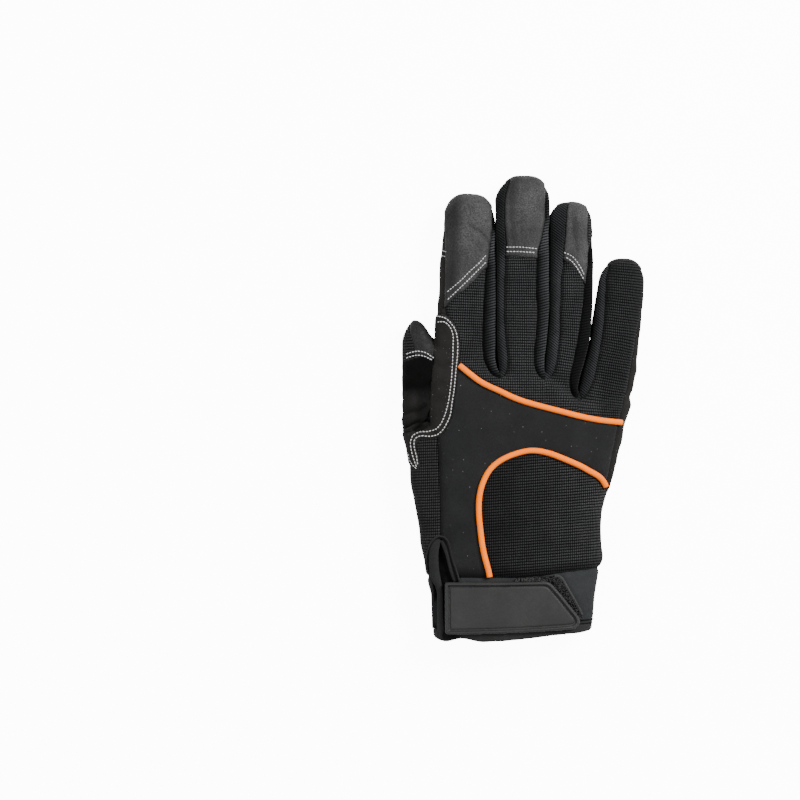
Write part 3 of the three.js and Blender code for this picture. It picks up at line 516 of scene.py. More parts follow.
PALM_PATCHES = {
    "palm_patch_index": [
        (-41.3, 16.4), (-38.2, 24.9), (-31.8, 28.6), (-23.3, 24.9), (-17.0, 12.7), (-15.9, -0.5),
        (-21.2, -12.2), (-29.7, -16.4), (-38.2, -11.1), (-41.9, 2.1),
    ],
    "palm_patch_outer": [
        (13.8, -3.7), (31.3, -5.8), (42.4, -15.4), (41.9, -32.3), (31.8, -38.7), (17.0, -34.5), (9.0, -19.1),
    ],
    "palm_patch_heel": [
        (-20.7, -51.9), (-0.5, -46.6), (20.7, -51.9), (31.8, -62.5), (31.3, -73.7), (17.0, -80.0),
        (-6.4, -79.0), (-19.6, -68.4),
    ],
}
THUMB_UNDER = [
    (-71.0, -89.0), (-44.0, -89.0), (-44.0, -16.4), (-48.2, -9.0), (-49.3, -1.6), (-49.3, 5.8), (-47.7, 26.0),
    (-46.6, 41.9), (-46.6, 57.8), (-71.0, 57.8),
]

NAMES = sorted(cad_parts)


def labels_of(centre, normal):
    """Which of NAMES each face belongs to."""
    x, y = centre[:, 0], centre[:, 1]
    label = np.full(len(x), NAMES.index("palm"))
    top = normal[:, 2] > 0
    free = top.copy()
    cuff = y < np.interp(x, cuff_seam[:, 0], cuff_seam[:, 1])
    for name, region in TOP:
        m = free.copy()
        for outline in region if isinstance(region, tuple) else (region,):
            m &= inside(outline, x, y)
        label[m] = NAMES.index(name)
        free &= ~m
    under = ~top
    creases = [along(CREASES[n][2], y) for n in range(3)]
    for n, name in enumerate(FINGERS):
        left = creases[n - 1] if n else np.full(len(x), along(CREASES[3][2], y))
        right = creases[n] if n < 3 else np.full(len(x), FAR)
        lo, hi = span(FIELDS[name], y)
        u = (2 * x - lo - hi) / (hi - lo)
        own = under & (x > left) & (x < right)
        start, length = DIGITS[name]["tip"][:2]
        base = max(CREASES[k][0] for k in (n - 1, n) if 0 <= k < 3)
        mine = own & (y > base - 3)
        limit_left, limit_right = (-0.84 if n == 0 else -0.7), (0.84 if n == 3 else 0.7)
        cap = mine & (y > start + length - 27) & (u > limit_left) & (u < limit_right)
        label[cap] = NAMES.index(name + "_tip_cap")
        if n < 3:
            m = own & (y > CREASES[n][0] - 3) & (u >= limit_right)
            label[m] = NAMES.index(STRIPS[n])
        if n:
            m = own & (y > CREASES[n - 1][0] - 3) & (u <= limit_left)
            label[m] = NAMES.index(STRIPS[n - 1])
    for name, outline in PALM_PATCHES.items():
        label[under & inside(resample(outline, 1.0, True), x, y)] = NAMES.index(name)
    label[under & inside(THUMB_UNDER, x, y)] = NAMES.index("thumb_knit")
    vent = inside(fine(VENT), x, y) & top
    label[cuff] = NAMES.index("cuff")
    label[vent] = NAMES.index("vent_gusset")
    return label


body_points, body_quads = surface_net(field, (-66, -133, -0.8), (66.5, 126, 29), (0.55, 0.8, 0.8))
pairs = np.unique(edges_of(body_quads)[0], axis=0)
body_points = onto_surface(body_points, 3)
for _ in range(2):
    mean, _number = averaged(body_points, pairs, len(body_points))
    body_points = onto_surface(body_points * 0.4 + mean * 0.6, 1)
MOUTH = [
    (-76.3, -119.2), (-49.8, -118.9), (-46.6, -120.5), (-43.5, -122.7), (-39.8, -122.6), (-36.6, -121.1),
    (-33.4, -120.4), (-28.6, -121.4), (-23.3, -122.6), (-17.0, -122.4), (3.2, -120.6), (19.1, -118.7),
    (29.7, -118.0), (33.9, -117.1), (37.1, -115.8), (72.1, -115.5),
]
mouth_line = resample(MOUTH, 1.0)


def beyond_mouth(points, margin=0.0):
    return points[:, 1] < np.interp(points[:, 0], mouth_line[:, 0], mouth_line[:, 1]) + margin


def quad_normals(points, quads):
    return np.cross(points[quads[:, 2]] - points[quads[:, 0]], points[quads[:, 3]] - points[quads[:, 1]])


def vertex_normals(points, quads):
    n = quad_normals(points, quads)
    out = np.zeros_like(points)
    for k in range(4):
        for c in range(3):
            out[:, c] += np.bincount(quads[:, k], n[:, c], len(points))
    return unit(out)


def kept(points, quads, keep):
    """Only those quads, and the vertices that they use."""
    quads = quads[keep]
    used, where = np.unique(quads, return_inverse=True)
    return points[used], where.reshape(quads.shape), used


body_points, body_quads, _used = kept(body_points, body_quads, ~beyond_mouth(body_points[body_quads].mean(1)))
label = labels_of(body_points[body_quads].mean(1), quad_normals(body_points, body_quads))

sides, owner = edges_of(body_quads)
pairs, which = np.unique(sides, axis=0, return_inverse=True)
for _ in range(3):
    # A quad that three of its neighbours outvote takes their label.
    votes = np.zeros((len(body_quads), len(NAMES)), np.int16)
    order = np.argsort(which, kind="stable")
    w, o = which[order], owner[order]
    same = w[1:] == w[:-1]
    a, b = o[:-1][same], o[1:][same]
    np.add.at(votes, (a, label[b]), 1)
    np.add.at(votes, (b, label[a]), 1)
    label = np.where(votes.max(1) >= 3, votes.argmax(1), label)
low = np.full(len(pairs), 99)
high = np.full(len(pairs), -1)
np.minimum.at(low, which, label[owner])
np.maximum.at(high, which, label[owner])
uses = np.bincount(which, minlength=len(pairs))
seam = (low != high) | (uses == 1)
open_edge = uses == 1

seam_pairs = pairs[seam]
n_body = len(body_points)
on_seam = np.zeros(n_body, bool)
on_seam[seam_pairs.ravel()] = True
for _ in range(14):
    mean, number = averaged(body_points, seam_pairs, n_body)
    move = number == 2
    body_points[move] += 0.5 * (mean - body_points)[move]
for _ in range(4):
    mean, number = averaged(body_points, pairs, n_body)
    body_points[~on_seam] += 0.5 * (mean - body_points)[~on_seam]
edge_of_cloth = np.zeros(n_body, bool)
edge_of_cloth[pairs[open_edge].ravel()] = True
free = ~edge_of_cloth
body_points[free] = onto_surface(body_points[free], 2, 0.4)
normals = vertex_normals(body_points, body_quads)
for _ in range(3):
    mean, _number = averaged(normals, pairs, n_body)
    normals = unit(normals + mean)


# Making Blender objects.

def mesh_of(name, points, faces, material, smooth=True, uv=None, marks=None):
    """A Blender object from points in millimetres and faces of three or four corners. marks is the painted
    light and shade of each point, a tone which its look's colour is multiplied by."""
    mesh = bpy.data.meshes.new(name)
    mesh.vertices.add(len(points))
    mesh.vertices.foreach_set("co", (np.asarray(points, float) * MM).ravel())
    groups = [np.asarray(f) for f in (faces if isinstance(faces, list) else [faces]) if len(f)]
    total = np.concatenate([np.full(len(f), f.shape[1]) for f in groups])
    starts = np.concatenate([[0], np.cumsum(total)[:-1]])
    corners = np.concatenate([f.ravel() for f in groups])
    mesh.loops.add(len(corners))
    mesh.loops.foreach_set("vertex_index", corners)
    mesh.polygons.add(len(total))
    mesh.polygons.foreach_set("loop_start", starts)
    mesh.polygons.foreach_set("use_smooth", np.full(len(total), smooth))
    mesh.materials.append(material)
    mesh.update(calc_edges=True)
    mesh.validate()
    if uv is not None:
        layer = mesh.uv_layers.new(name="cloth")
        layer.data.foreach_set("uv", np.asarray(uv, float)[corners].ravel())
    layer = mesh.attributes.new("tone", "FLOAT", "POINT")
    layer.data.foreach_set("value", np.ones(len(points)) if marks is None else np.asarray(marks, float))
    obj = bpy.data.objects.new(name, mesh)
    bpy.context.scene.collection.objects.link(obj)
    return obj


def piece(name, points, faces, look, slot_name, replaced=True, **more):
    """A piece with its look, in place of the frame's node of that name if it has one; slot_name is not used."""
    obj = mesh_of("look_" + name, points, faces, LOOKS[look], **more)
    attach(obj, "root")
    if replaced:
        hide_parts(name)


# Materials.

class Look:
    """A material's nodes, made with short calls."""

    def __init__(self, name):
        self.material = bpy.data.materials.new(name)
        self.material.use_nodes = True
        self.tree = self.material.node_tree
        self.shader = self.tree.nodes["Principled BSDF"]

    def node(self, kind, links=None, **settings):
        n = self.tree.nodes.new("ShaderNode" + kind)
        for key, value in settings.items():
            setattr(n, key, value)
        for key, value in (links or {}).items():
            self.put(n.inputs[key], value)
        return n

    def put(self, socket, value):
        if isinstance(value, bpy.types.NodeSocket):
            self.tree.links.new(value, socket)
        elif isinstance(value, (tuple, list)) and socket.type == "RGBA" and len(value) == 3:
            socket.default_value = (*value, 1)
        else:
            socket.default_value = value

    def math(self, operation, a, b=0.0, c=0.0):
        return self.node("Math", {0: a, 1: b, 2: c}, operation=operation).outputs[0]

    def times(self, a, b):
        return self.math("MULTIPLY", a, b)

    def plus(self, a, b):
        return self.math("ADD", a, b)

    def wave(self, value, pitch):
        """A sine that turns round over a pitch in millimetres."""
        return self.math("SINE", self.times(value, 2 * math.pi / (pitch * MM)))

    def noise(self, at, scale, detail=2.0, rough=0.5):
        links = {"Vector": at, "Scale": scale, "Detail": detail, "Roughness": rough}
        return self.node("TexNoise", links).outputs[0]

    def ramp(self, value, low, high, a=0.0, b=1.0):
        return self.node("MapRange", {0: value, 1: low, 2: high, 3: a, 4: b}).outputs[0]

    def mix(self, factor, a, b):
        n = self.node("Mix", data_type="RGBA")
        self.put(n.inputs[0], factor)
        self.put(n.inputs[6], a)
        self.put(n.inputs[7], b)
        return n.outputs[2]

    def place(self):
        return self.node("TexCoord").outputs["Object"]

    def bump(self, height, distance, strength=1.0, normal=None):
        links = {"Height": height, "Distance": distance, "Strength": strength}
        if normal is not None:
            links["Normal"] = normal
        return self.node("Bump", links).outputs[0]

    def lint(self, at, base, size, share):
        """Sparse pale specks of dust over a colour."""
        cells = self.node("TexVoronoi", {"Vector": at, "Scale": size})
        dots = self.math("LESS_THAN", cells.outputs["Distance"], share)
        pale = self.ramp(self.noise(at, 170.0, 2.0), 0.35, 0.65, 0.1, 0.8)
        return self.mix(self.times(dots, pale), base, grey(125))

    def finish(self, colour, rough, normal=None, sheen=0.0, specular=0.3):
        if isinstance(colour, bpy.types.NodeSocket):
            # The tone attribute darkens the colour point by point: painted light and shade.
            tone = self.node("Attribute", attribute_name="tone").outputs["Fac"]
            colour = self.mix(tone, (0.0, 0.0, 0.0), colour)
        self.put(self.shader.inputs["Base Color"], colour)
        self.put(self.shader.inputs["Roughness"], rough)
        self.shader.inputs["Sheen Weight"].default_value = sheen
        self.shader.inputs["Sheen Roughness"].default_value = 0.5
        self.shader.inputs["Specular IOR Level"].default_value = specular
        if normal is not None:
            self.put(self.shader.inputs["Normal"], normal)
        return self.material


def grey(value, warm=0.0):
    """A linear colour from a display grey of 0 to 255, a little warm or cool."""
    v = 0.7 * ((value / 255 + 0.055) / 1.055) ** 2.4
    return (v * (1 + warm), v, v * (1 - warm))


def knit(name, row, column, dark, light, twill=False, depth=0.35):
    """Ribs across with dots of grey thread in columns, or the plain ribs of a twill."""
    look = Look(name)
    uv = look.node("UVMap", uv_map="cloth").outputs[0]
    at = look.place()
    wobble = look.noise(at, 140.0, 2.0)
    split = look.node("SeparateXYZ", {0: uv})
    v = look.plus(split.outputs[1], look.times(wobble, 0.35 * MM))
    rib = look.math("ABSOLUTE", look.wave(v, 2 * row))
    stitch = look.math("ABSOLUTE", look.wave(split.outputs[0], 2 * column))
    threads = (0.25, 0.75) if twill else (0.85, 0.2)
    weave = look.times(rib, look.plus(look.times(stitch, threads[0]), threads[1]))
    speck = look.noise(at, 1500.0, 2.0, 0.7)
    patch = look.noise(at, 90.0, 3.0, 0.6)
    height = look.plus(weave, look.times(speck, 0.5))
    shade = look.ramp(look.plus(weave, look.times(speck, 0.45)), 0.5, 1.08)
    shade = look.times(shade, look.ramp(patch, 0.3, 0.7, 0.72, 1.15))
    colour = look.mix(shade, grey(*dark), grey(*light))
    return look.finish(colour, 0.9, look.bump(height, depth * MM, 1.0), 0.03, 0.05)


def suede(name, colour, spread=0.25, dust=0.0):
    look = Look(name)
    at = look.place()
    nap = look.noise(at, 1400.0, 3.0, 0.7)
    cloud = look.noise(at, 70.0, 3.0, 0.6)
    tone = look.plus(look.times(nap, 0.55), look.times(cloud, 0.6))
    dark, light = (tuple(c * f for c in grey(*colour)) for f in (1 - spread, 1 + 1.6 * spread))
    base = look.mix(look.ramp(tone, 0.35, 0.8), dark, light)
    if dust:
        base = look.lint(at, base, 480.0, dust)
    height = look.plus(nap, look.times(cloud, 1.4))
    return look.finish(base, 0.95, look.bump(height, 0.2 * MM, 0.9), 0.03, 0.05)


def leather(name, value, warm=0.0, rough=0.6, grainy=1.0):
    look = Look(name)
    at = look.place()
    cells = look.node("TexVoronoi", {"Vector": at, "Scale": 1100.0}, feature="DISTANCE_TO_EDGE")
    grain = look.ramp(cells.outputs["Distance"], 0.0, 0.28)
    crumple = look.noise(at, 260.0, 4.0, 0.65)
    cloud = look.noise(at, 60.0, 3.0, 0.6)
    tone = look.plus(look.times(crumple, 0.3), look.times(cloud, 0.7))
    dark, light = grey(value * (1 - 0.22 * grainy), warm), grey(value * (1 + 0.24 * grainy), warm)
    base = look.mix(look.ramp(tone, 0.38, 0.62), dark, light)
    pore = look.times(look.ramp(look.noise(at, 1500.0, 2.0, 0.8), 0.45, 0.56), 0.72 * grainy)
    base = look.mix(pore, base, grey(value * 0.5, warm))
    height = look.plus(look.times(grain, 0.5), look.times(crumple, 1.8))
    roughness = look.ramp(crumple, 0.3, 0.7, rough - 0.06, rough + 0.08)
    return look.finish(base, roughness, look.bump(height, 0.2 * MM * grainy, 0.8), 0.0, 0.2)


def plain_cloth(name, value, warm=0.0, pitch=0.55, depth=0.12, rough=0.85, dust=0.0):
    """Smooth cloth with a fine weave."""
    look = Look(name)
    at = look.place()
    split = look.node("SeparateXYZ", {0: at})
    weave = look.times(look.wave(split.outputs[0], pitch), look.wave(split.outputs[1], pitch))
    cloud = look.noise(at, 60.0, 3.0, 0.6)
    speck = look.noise(at, 1300.0, 2.0, 0.6)
    tone = look.plus(look.times(cloud, 0.6), look.times(speck, 0.4))
    base = look.mix(look.ramp(tone, 0.32, 0.68), grey(value * 0.85, warm), grey(value * 1.15, warm))
    if dust:
        base = look.lint(at, base, 290.0, dust)
    height = look.plus(look.times(weave, 0.5), look.times(speck, 0.8))
    return look.finish(base, rough, look.bump(height, depth * MM, 0.8), 0.03, 0.06)


LOOKS = {
    "knit": knit("knit", 1.46, 1.2, (4, -0.03), (62, -0.03)),
    "knit_strip": knit("knit_twill", 1.45, 1.1, (10, -0.06), (96, -0.06), True, 0.3),
    "knit_wrist": knit("knit_wrist", 1.52, 1.15, (5, -0.02), (73, -0.02)),
    "knit_thumb": knit("knit_thumb", 1.52, 1.15, (5,), (54,)),
    "suede": suede("suede_palm", (34, 0.06), 0.25, 0.1),
    "suede_thumb": suede("suede_thumb", (29, 0.04), 0.4, 0.05),
    "leather": leather("leather_tips", 59.5),
    "leather_thumb": leather("leather_thumb", 32.5),
    "foam_cloth": plain_cloth("foam_cloth", 33.0, -0.02, 0.5, 0.1, 0.8, 0.075),
    "stretch_band": plain_cloth("stretch_band", 45.5, -0.06, 0.8, 0.14),
    # Near black: painted shade in the vent's hole.
    "hollow_shade": plain_cloth("vent_hollow", 10.0),
    "binding": plain_cloth("binding_tape", 43.0, 0.0, 0.9, 0.2),
    "lining": plain_cloth("lining", 41.0, 0.0, 0.9, 0.2),
    # A slightly darker copy of the lining: painted shade inside the vent.
    "lining_dark": plain_cloth("lining_dark", 39.0, 0.0, 0.9, 0.2),
    "hook_tape": suede("hook_tape", (9, 0.0), 0.5),
    "hook_fuzz": suede("hook_fuzz", (68, 0.0), 0.6),
    "hook_edge": plain_cloth("hook_edge", 56.0, 0.0, 0.7, 0.2),
    "strap_rubber": leather("strap_rubber", 44.5, 0.0, 0.6, 0.3),
    "thread": plain_cloth("thread_grey", 212.0, 0.0, 0.35, 0.1, 0.7),
    # Dark thread for the hem's seams, and painted shade in the vent's groove.
    "thread_dark": plain_cloth("thread_dark", 8.0),
}
orange = Look("piping_orange")
spot = orange.place()
fuzz = orange.noise(spot, 1200.0, 2.0, 0.6)
wave = orange.noise(spot, 160.0, 2.0)
LOOKS["piping"] = orange.finish(
    orange.mix(orange.ramp(orange.plus(fuzz, wave), 0.7, 1.3), (0.95, 0.16, 0.0), (0.95, 0.19, 0.0)),
    0.85, orange.bump(fuzz, 0.12 * MM, 0.7), 0.0, 0.02)

# The pieces of the body.

STYLE = {
    # Each piece's look, slot, puff, dip at its seams, reach of the puff, rank as an overlay and rise over others.
    **{finger + "_tip_cap": ("leather", "leather", 0.25, 0.9, 2.5, 2, 0.75) for finger in FINGERS},
    "thumb_tip_cap": ("leather_thumb", "leather", 0.2, 0.9, 2.5, 2, 0.7),
    **dict.fromkeys(strips, ("knit_strip", "knit", 1.5, 1.5, 1.9, 0, 0)),
    "thumb_leather": ("suede_thumb", "suede", 0.2, 0.8, 2.5, 1, 0.35),
    "thumb_knit": ("knit_thumb", "knit", 0.3, 1.0, 3.0, 0, 0),
    "cuff": ("stretch_band", "stretch_band", 0.2, 0.9, 2.5, 0, 0),
    "knuckle_panel": ("foam_cloth", "foam_cloth", 0.6, 0.9, 4.0, 0, 0),
    "wrist_knit": ("knit_wrist", "knit", 0.2, 0.9, 3.0, 0, 0),
    "back_knit": ("knit", "knit", 0.5, 1.2, 2.4, 0, 0),
    "palm": ("suede", "suede", 0.2, 0.8, 2.5, 0, 0),
    "crotch_patch": ("suede", "suede", 0.1, 0.8, 2.5, 2, 0.8),
    **dict.fromkeys(PALM_PATCHES, ("suede", "suede", 0.1, 0.8, 2.5, 3, 0.8)),
    "vent_gusset": ("hollow_shade", "foam_cloth", 0.0, 0.0, 2.5, -1, 0),
}
WRINKLES = [(*rng.normal(0, 1, 3), rng.uniform(0, 6.28)) for _ in range(28)]


def ripple(p, size, amount, first, count=9):
    """Seeded uneven folds: sines along random directions, with sizes in millimetres."""
    total = np.zeros(len(p))
    for n, (a, b, c, phase) in enumerate(WRINKLES[first:first + count]):
        d = np.array((a, b, c)) / np.linalg.norm((a, b, c))
        swing = phase + 0.6 * np.sin(p @ d[::-1] * 3 / size)
        total += np.sin(p @ d * 2 * math.pi / (size * (0.7 + 0.09 * n)) + swing)
    return total / count * amount


def nearest(points, targets):
    """The distance from each point to the nearest target."""
    if not len(targets):
        return np.full(len(points), 99.0)
    tree = KDTree(len(targets))
    for n, t in enumerate(targets):
        tree.insert(t, n)
    tree.balance()
    return np.array([tree.find(p)[2] for p in points])


# Single folds: the piece, then its line seen from above, its depth and its width.
FOLDS = [
    ("thumb_leather", [(-63.1, -10.1), (-59.4, -8.0), (-55.1, -6.7), (-49.8, -6.4)], 1.7, 0.9),
    ("thumb_leather", [(-58.3, -11.1), (-55.1, -8.8), (-51.4, -4.8), (-49.3, -1.1)], 1.1, 0.9),
    ("thumb_leather", [(-63.6, -3.2), (-59.9, -1.3), (-56.2, -0.8), (-53.0, 1.6)], 0.6, 1.2),
    ("thumb_leather", [(-63.1, 10.6), (-58.8, 12.2), (-54.6, 11.7), (-49.8, 13.8)], 0.5, 1.8),
    ("index_tip_cap", [(-28.6, 97.0), (-24.4, 94.3), (-20.7, 90.6), (-18.0, 86.9)], 0.3, 1.0),
    ("index_tip_cap", [(-30.7, 90.6), (-26.5, 88.0), (-23.3, 84.3)], 0.2, 1.0),
    ("index_tip_cap", [(-37.4, 109.2), (-37.4, 100.2), (-37.8, 84.3), (-39.0, 65.7)], 0.45, 2.2),
    ("index_tip_cap", [(-32.9, 112.9), (-27.6, 114.5), (-21.2, 111.8)], 0.2, 1.6),
    ("middle_tip_cap", [(-6.4, 118.2), (-6.9, 108.1), (-6.6, 97.5), (-5.3, 86.9)], 0.25, 1.5),
    ("middle_tip_cap", [(0.0, 116.1), (3.7, 117.7), (8.5, 114.5)], 0.2, 1.4),
    ("ring_tip_cap", [(25.4, 103.4), (26.5, 92.2), (27.6, 84.3)], 0.2, 1.4),
    ("crotch_patch", [(-48.2, 26.0), (-44.0, 22.8), (-39.2, 24.4)], 0.15, 1.6),
    ("crotch_patch", [(-48.8, 11.1), (-44.5, 13.2), (-39.2, 10.6)], 0.15, 1.8),
]
rank = np.array([STYLE[n][5] if n in STYLE else 0 for n in NAMES])
RIPPLES = {
    "leather": (11.0, 0.6, 3.0, 0.1), "leather_thumb": (11.0, 0.5, 3.0, 0.08), "knit": (17.0, 0.7, 4.0, 0.12),
    "knit_strip": (14.0, 0.4, 4.0, 0.12), "knit_wrist": (22.0, 0.5, 5.0, 0.1), "suede": (12.0, 0.6, 4.0, 0.15),
    "suede_thumb": (9.0, 1.1, 4.0, 0.25), "foam_cloth": (34.0, 0.9, 9.0, 0.1),
    "stretch_band": (30.0, 0.4, 7.0, 0.08), "hollow_shade": (9.0, 0.8, 3.0, 0.2), "knit_thumb": (20.0, 0.8, 5.0, 0.15),
}
inner_points, inner_quads = surface_net(
    lambda p: field(p) + WALL, (-64, -133, 0.6), (64.5, 124, 28), (1.7, 2.4, 1.5))
inner_points, inner_quads, _used = kept(
    inner_points, inner_quads, ~beyond_mouth(inner_points[inner_quads].mean(1), 0.8))
inner_label = labels_of(inner_points[inner_quads].mean(1), quad_normals(inner_points, inner_quads))


# Painted light and shade on the two rolls of a strip: how light they are at their left and right side, left roll
# first.
PAINTED_ROLL_SHADE = [((0.22, 0.86), (0.36, 0.62)), ((0.31, 0.88), (0.38, 0.68)), ((0.24, 0.27), (0.28, 0.62))]
# Painted light and shade on a cap: how light it is at its left and right, and where across the finger that
# changes.
PAINTED_CAP_SHADE = {
    "index_tip_cap": (0.77, 0.94, 0.2, 0.48), "middle_tip_cap": (0.8, 0.93, 0.2, 0.48),
    "ring_tip_cap": (1.0, 0.98, 0.3, 0.8), "thumb_tip_cap": (1.0, 0.6, 0.3, 0.7),
}


def smooth(value, start, stop):
    share = np.clip((value - start) / (stop - start), 0, 1)
    return share * share * (3 - 2 * share)


ROW_SLOPE = {"wrist_knit": -0.08, "thumb_knit": -0.05}


def cloth_uv(name, points, directions):
    """Flat cloth coordinates in metres: across and along the digits, unrolled down their sides."""
    x, y = points[:, 0], points[:, 1]
    down = 0.0 if name in STRIPS else directions[:, 0]
    u, v = x + down * (22 - points[:, 2]), y + ROW_SLOPE.get(name, 0.0) * x
    if name in STRIPS:
        v = y + np.where(x < along(CREASES[STRIPS.index(name)][2], y), -0.28, 0.77) * x
    if name == "back_knit":
        for n, finger in enumerate(FINGERS):
            y_row, sides = FIELDS[finger]
            middle = np.interp(y, y_row, sides.mean(1))
            lean = np.interp(y, y_row, np.gradient(sides.mean(1), y_row))
            left = along(CREASES[n - 1][2], y) if n else np.full(len(x), -FAR)
            right = along(CREASES[n][2], y) if n < 3 else np.full(len(x), FAR)
            start = max(CREASES[k][0] for k in (n - 1, n) if 0 <= k < 3)
            part = np.clip((y - start + 16) / 22, 0, 1) * (x > left) * (x < right)
            v = v + part * lean * (x - middle)
            u = u - part * lean * (y - start)
    return np.column_stack([u, v]) * MM


outer = {}
for number, name in enumerate(NAMES):
    if name not in STYLE:
        continue
    look, slot_name, puff, dip, reach, own_rank, rise = STYLE[name]
    mine = label == number
    points, quads, used = kept(body_points, body_quads, mine)
    normal = normals[used]
    touching = (low == number) | (high == number)
    other = np.where(low == number, high, low)
    at_seam = touching & (low != high)
    over = at_seam & (own_rank > rank[other])
    level = at_seam & (own_rank == rank[other])
    places = {}
    for key, choice in (("over", over), ("level", level)):
        places[key] = body_points[np.unique(pairs[choice])]
    to_level, to_over = nearest(points, places["level"]), nearest(points, places["over"])
    lift = puff * (1 - np.exp(-((to_level / reach) ** 2))) - dip * np.exp(-((to_level / 1.15) ** 2))
    tone = np.ones(len(points))
    if look == "knit_strip":
        # A roll: round from its seam to the crease beside it.
        start, _web, crease = CREASES[STRIPS.index(name)]
        line = [p for p in resample(crease, 0.5) if p[1] > start]
        to_crease = nearest(points * (1, 1, 0), [(*p, 0) for p in line])
        share = to_level / np.maximum(to_level + to_crease, 0.1)
        before = points[:, 0] < along(crease, points[:, 1])
        # Painted light and shade across each roll, from its seam to the crease.
        (a, b), (c, d) = PAINTED_ROLL_SHADE[STRIPS.index(name)]
        tone = np.where(before, a + (b - a) * share, d + (c - d) * share) ** 2.2
        lift = 2.4 * np.sqrt(np.maximum(4 * share * (1 - share), 0)) - 0.8
        lift -= 0.9 * np.exp(-((to_level / 0.9) ** 2)) + 0.35 * np.exp(-((to_crease / 1.2) ** 2))
        top = np.clip((normal[:, 2] - 0.1) / 0.45, 0, 1)
        lift = top * lift + (1 - top) * (0.35 - 1.2 * np.exp(-((to_level / 0.9) ** 2)))
    if name in PAINTED_CAP_SHADE:
        # Painted light and shade across the cap.
        left, right = span(FIELDS[name.split("_")[0]], points[:, 1])
        a, b, start, stop = PAINTED_CAP_SHADE[name]
        tone = (a + (b - a) * smooth((points[:, 0] - left) / (right - left), start, stop)) ** 2.2
    if name == "thumb_leather":
        # Painted shade: the thumb's suede is darker at its right side and towards the fingers.
        tone = 1 - 0.3 * smooth(points[:, 0], -59.0, -54.5)
        tone = (0.42 + (1.06 * tone - 0.42) * smooth(-points[:, 1], -13.0, -5.5)) ** 2.2
    if name in ("wrist_knit", "knuckle_panel"):
        # Painted shade along the cuff seam, under the knit's edge.
        seam_line = np.array(CUFF_SEAM)
        above = points[:, 1] - np.interp(points[:, 0], seam_line[:, 0], seam_line[:, 1])
        tone = 0.3 + 0.7 * smooth(above, 0.0, 8.0)
    if name == "wrist_knit":
        # Painted shade: the wrist knit is darker towards the left.
        tone *= np.interp(points[:, 0], (-20, -4, 18, 34, 41), (0.62, 0.72, 0.83, 0.9, 1.0)) ** 2.2
    if name == "back_knit":
        tone = 1 - 0.32 * smooth(points[:, 0], 38.0, 43.0)
    if len(places["over"]):
        lift += rise * (1 - np.exp(-((to_over / 0.75) ** 2))) + 0.1
    size, amount, small, small_amount = RIPPLES[look]
    calm = np.clip(np.minimum(to_level, to_over) / 3.0, 0.15, 1)
    broad = ripple(points, size, amount, number % 9)
    lift += calm * (broad + ripple(points, small, small_amount, 10 + number % 7))
    for piece_name, curve, depth, width in FOLDS:
        if piece_name == name:
            away = nearest(points * (1, 1, 0), [(*p, 0) for p in resample(curve, 0.5)])
            fold = np.exp(-((away / width) ** 2)) - 0.45 * np.exp(-(((away - 2 * width) / width) ** 2))
            lift -= depth * fold * np.clip(normal[:, 2] * 2, 0, 1)
            # Painted shade along the fold.
            tone = tone * (1 - 0.9 * min(depth, 0.9) * np.exp(-((away / width) ** 2)))
    if name == "vent_gusset":
        lift = -2.8 + ripple(points, 5.0, 0.9, 3)
    places_out = points + normal * lift[:, None]
    outer[name] = (places_out, quads)
    # The edge of the cloth turns in towards the seam.
    own_sides, _owner = edges_of(quads)
    own_pairs, own_which, own_uses = np.unique(own_sides, axis=0, return_inverse=True, return_counts=True)
    directed = np.vstack([quads[:, [n, (n + 1) % 4]] for n in range(4)])
    rim = directed[own_uses[own_which] == 1]
    rim_ids = np.unique(rim)
    lower_id = np.full(len(points), -1)
    lower_id[rim_ids] = len(points) + np.arange(len(rim_ids))
    skirt = np.column_stack([rim[:, 1], rim[:, 0], lower_id[rim[:, 0]], lower_id[rim[:, 1]]])
    all_points = np.vstack([places_out, places_out[rim_ids] - normal[rim_ids] * (1.7 if own_rank < 2 else 1.1)])
    all_normal = np.vstack([normal, normal[rim_ids]])
    all_quads = np.vstack([quads, skirt])
    tone = np.concatenate([tone, tone[rim_ids]])
    mine = inner_label == number
    if mine.any():
        deep, deep_quads, _used = kept(inner_points, inner_quads, mine)
        all_quads = np.vstack([all_quads, deep_quads[:, ::-1] + len(all_points)])
        all_points = np.vstack([all_points, deep])
        all_normal = np.vstack([all_normal, np.tile((0.0, 0, 1), (len(deep), 1))])
    # The inside of the glove is painted darker: painted shade.
    tone = np.concatenate([tone, np.full(len(all_points) - len(tone), 0.6)])
    uv = cloth_uv(name, all_points, all_normal)
    piece(name, all_points, all_quads, look, slot_name, uv=uv, marks=tone)

# Things that lie on the glove.

tree_points = np.vstack([v[0] for v in outer.values()])
tree_quads, base = [], 0
for v in outer.values():
    tree_quads.append(v[1] + base)
    base += len(v[0])
TREE = BVHTree.FromPolygons(tree_points.tolist(), np.vstack(tree_quads).tolist())
BARE = BVHTree.FromPolygons(body_points.tolist(), body_quads.tolist())


def drop(x, y, tree=BARE):
    """The top of the glove under a plan point: its place and its upward normal."""
    hit = tree.ray_cast(Vector((x, y, 60)), Vector((0, 0, -1)))
    if hit[0] is None:
        return None
    normal = hit[1] if hit[1].z > 0 else -hit[1]
    return np.array(hit[0]), np.array(normal)


def draped(line, rounds, tree=BARE):
    """A plan line laid on the top of the glove: places, normals and directions."""
    places, ups = [], []
    for x, y in line:
        hit = drop(x, y, tree)
        if hit is not None:
            places.append(hit[0])
            ups.append(hit[1])
    places, ups = np.array(places), np.array(ups)
    for _ in range(rounds):
        places[1:-1] = (places[:-2] + 2 * places[1:-1] + places[2:]) / 4
        ups[1:-1] = (ups[:-2] + 2 * ups[1:-1] + ups[2:]) / 4
    return places, unit(ups), unit(np.gradient(places, axis=0))


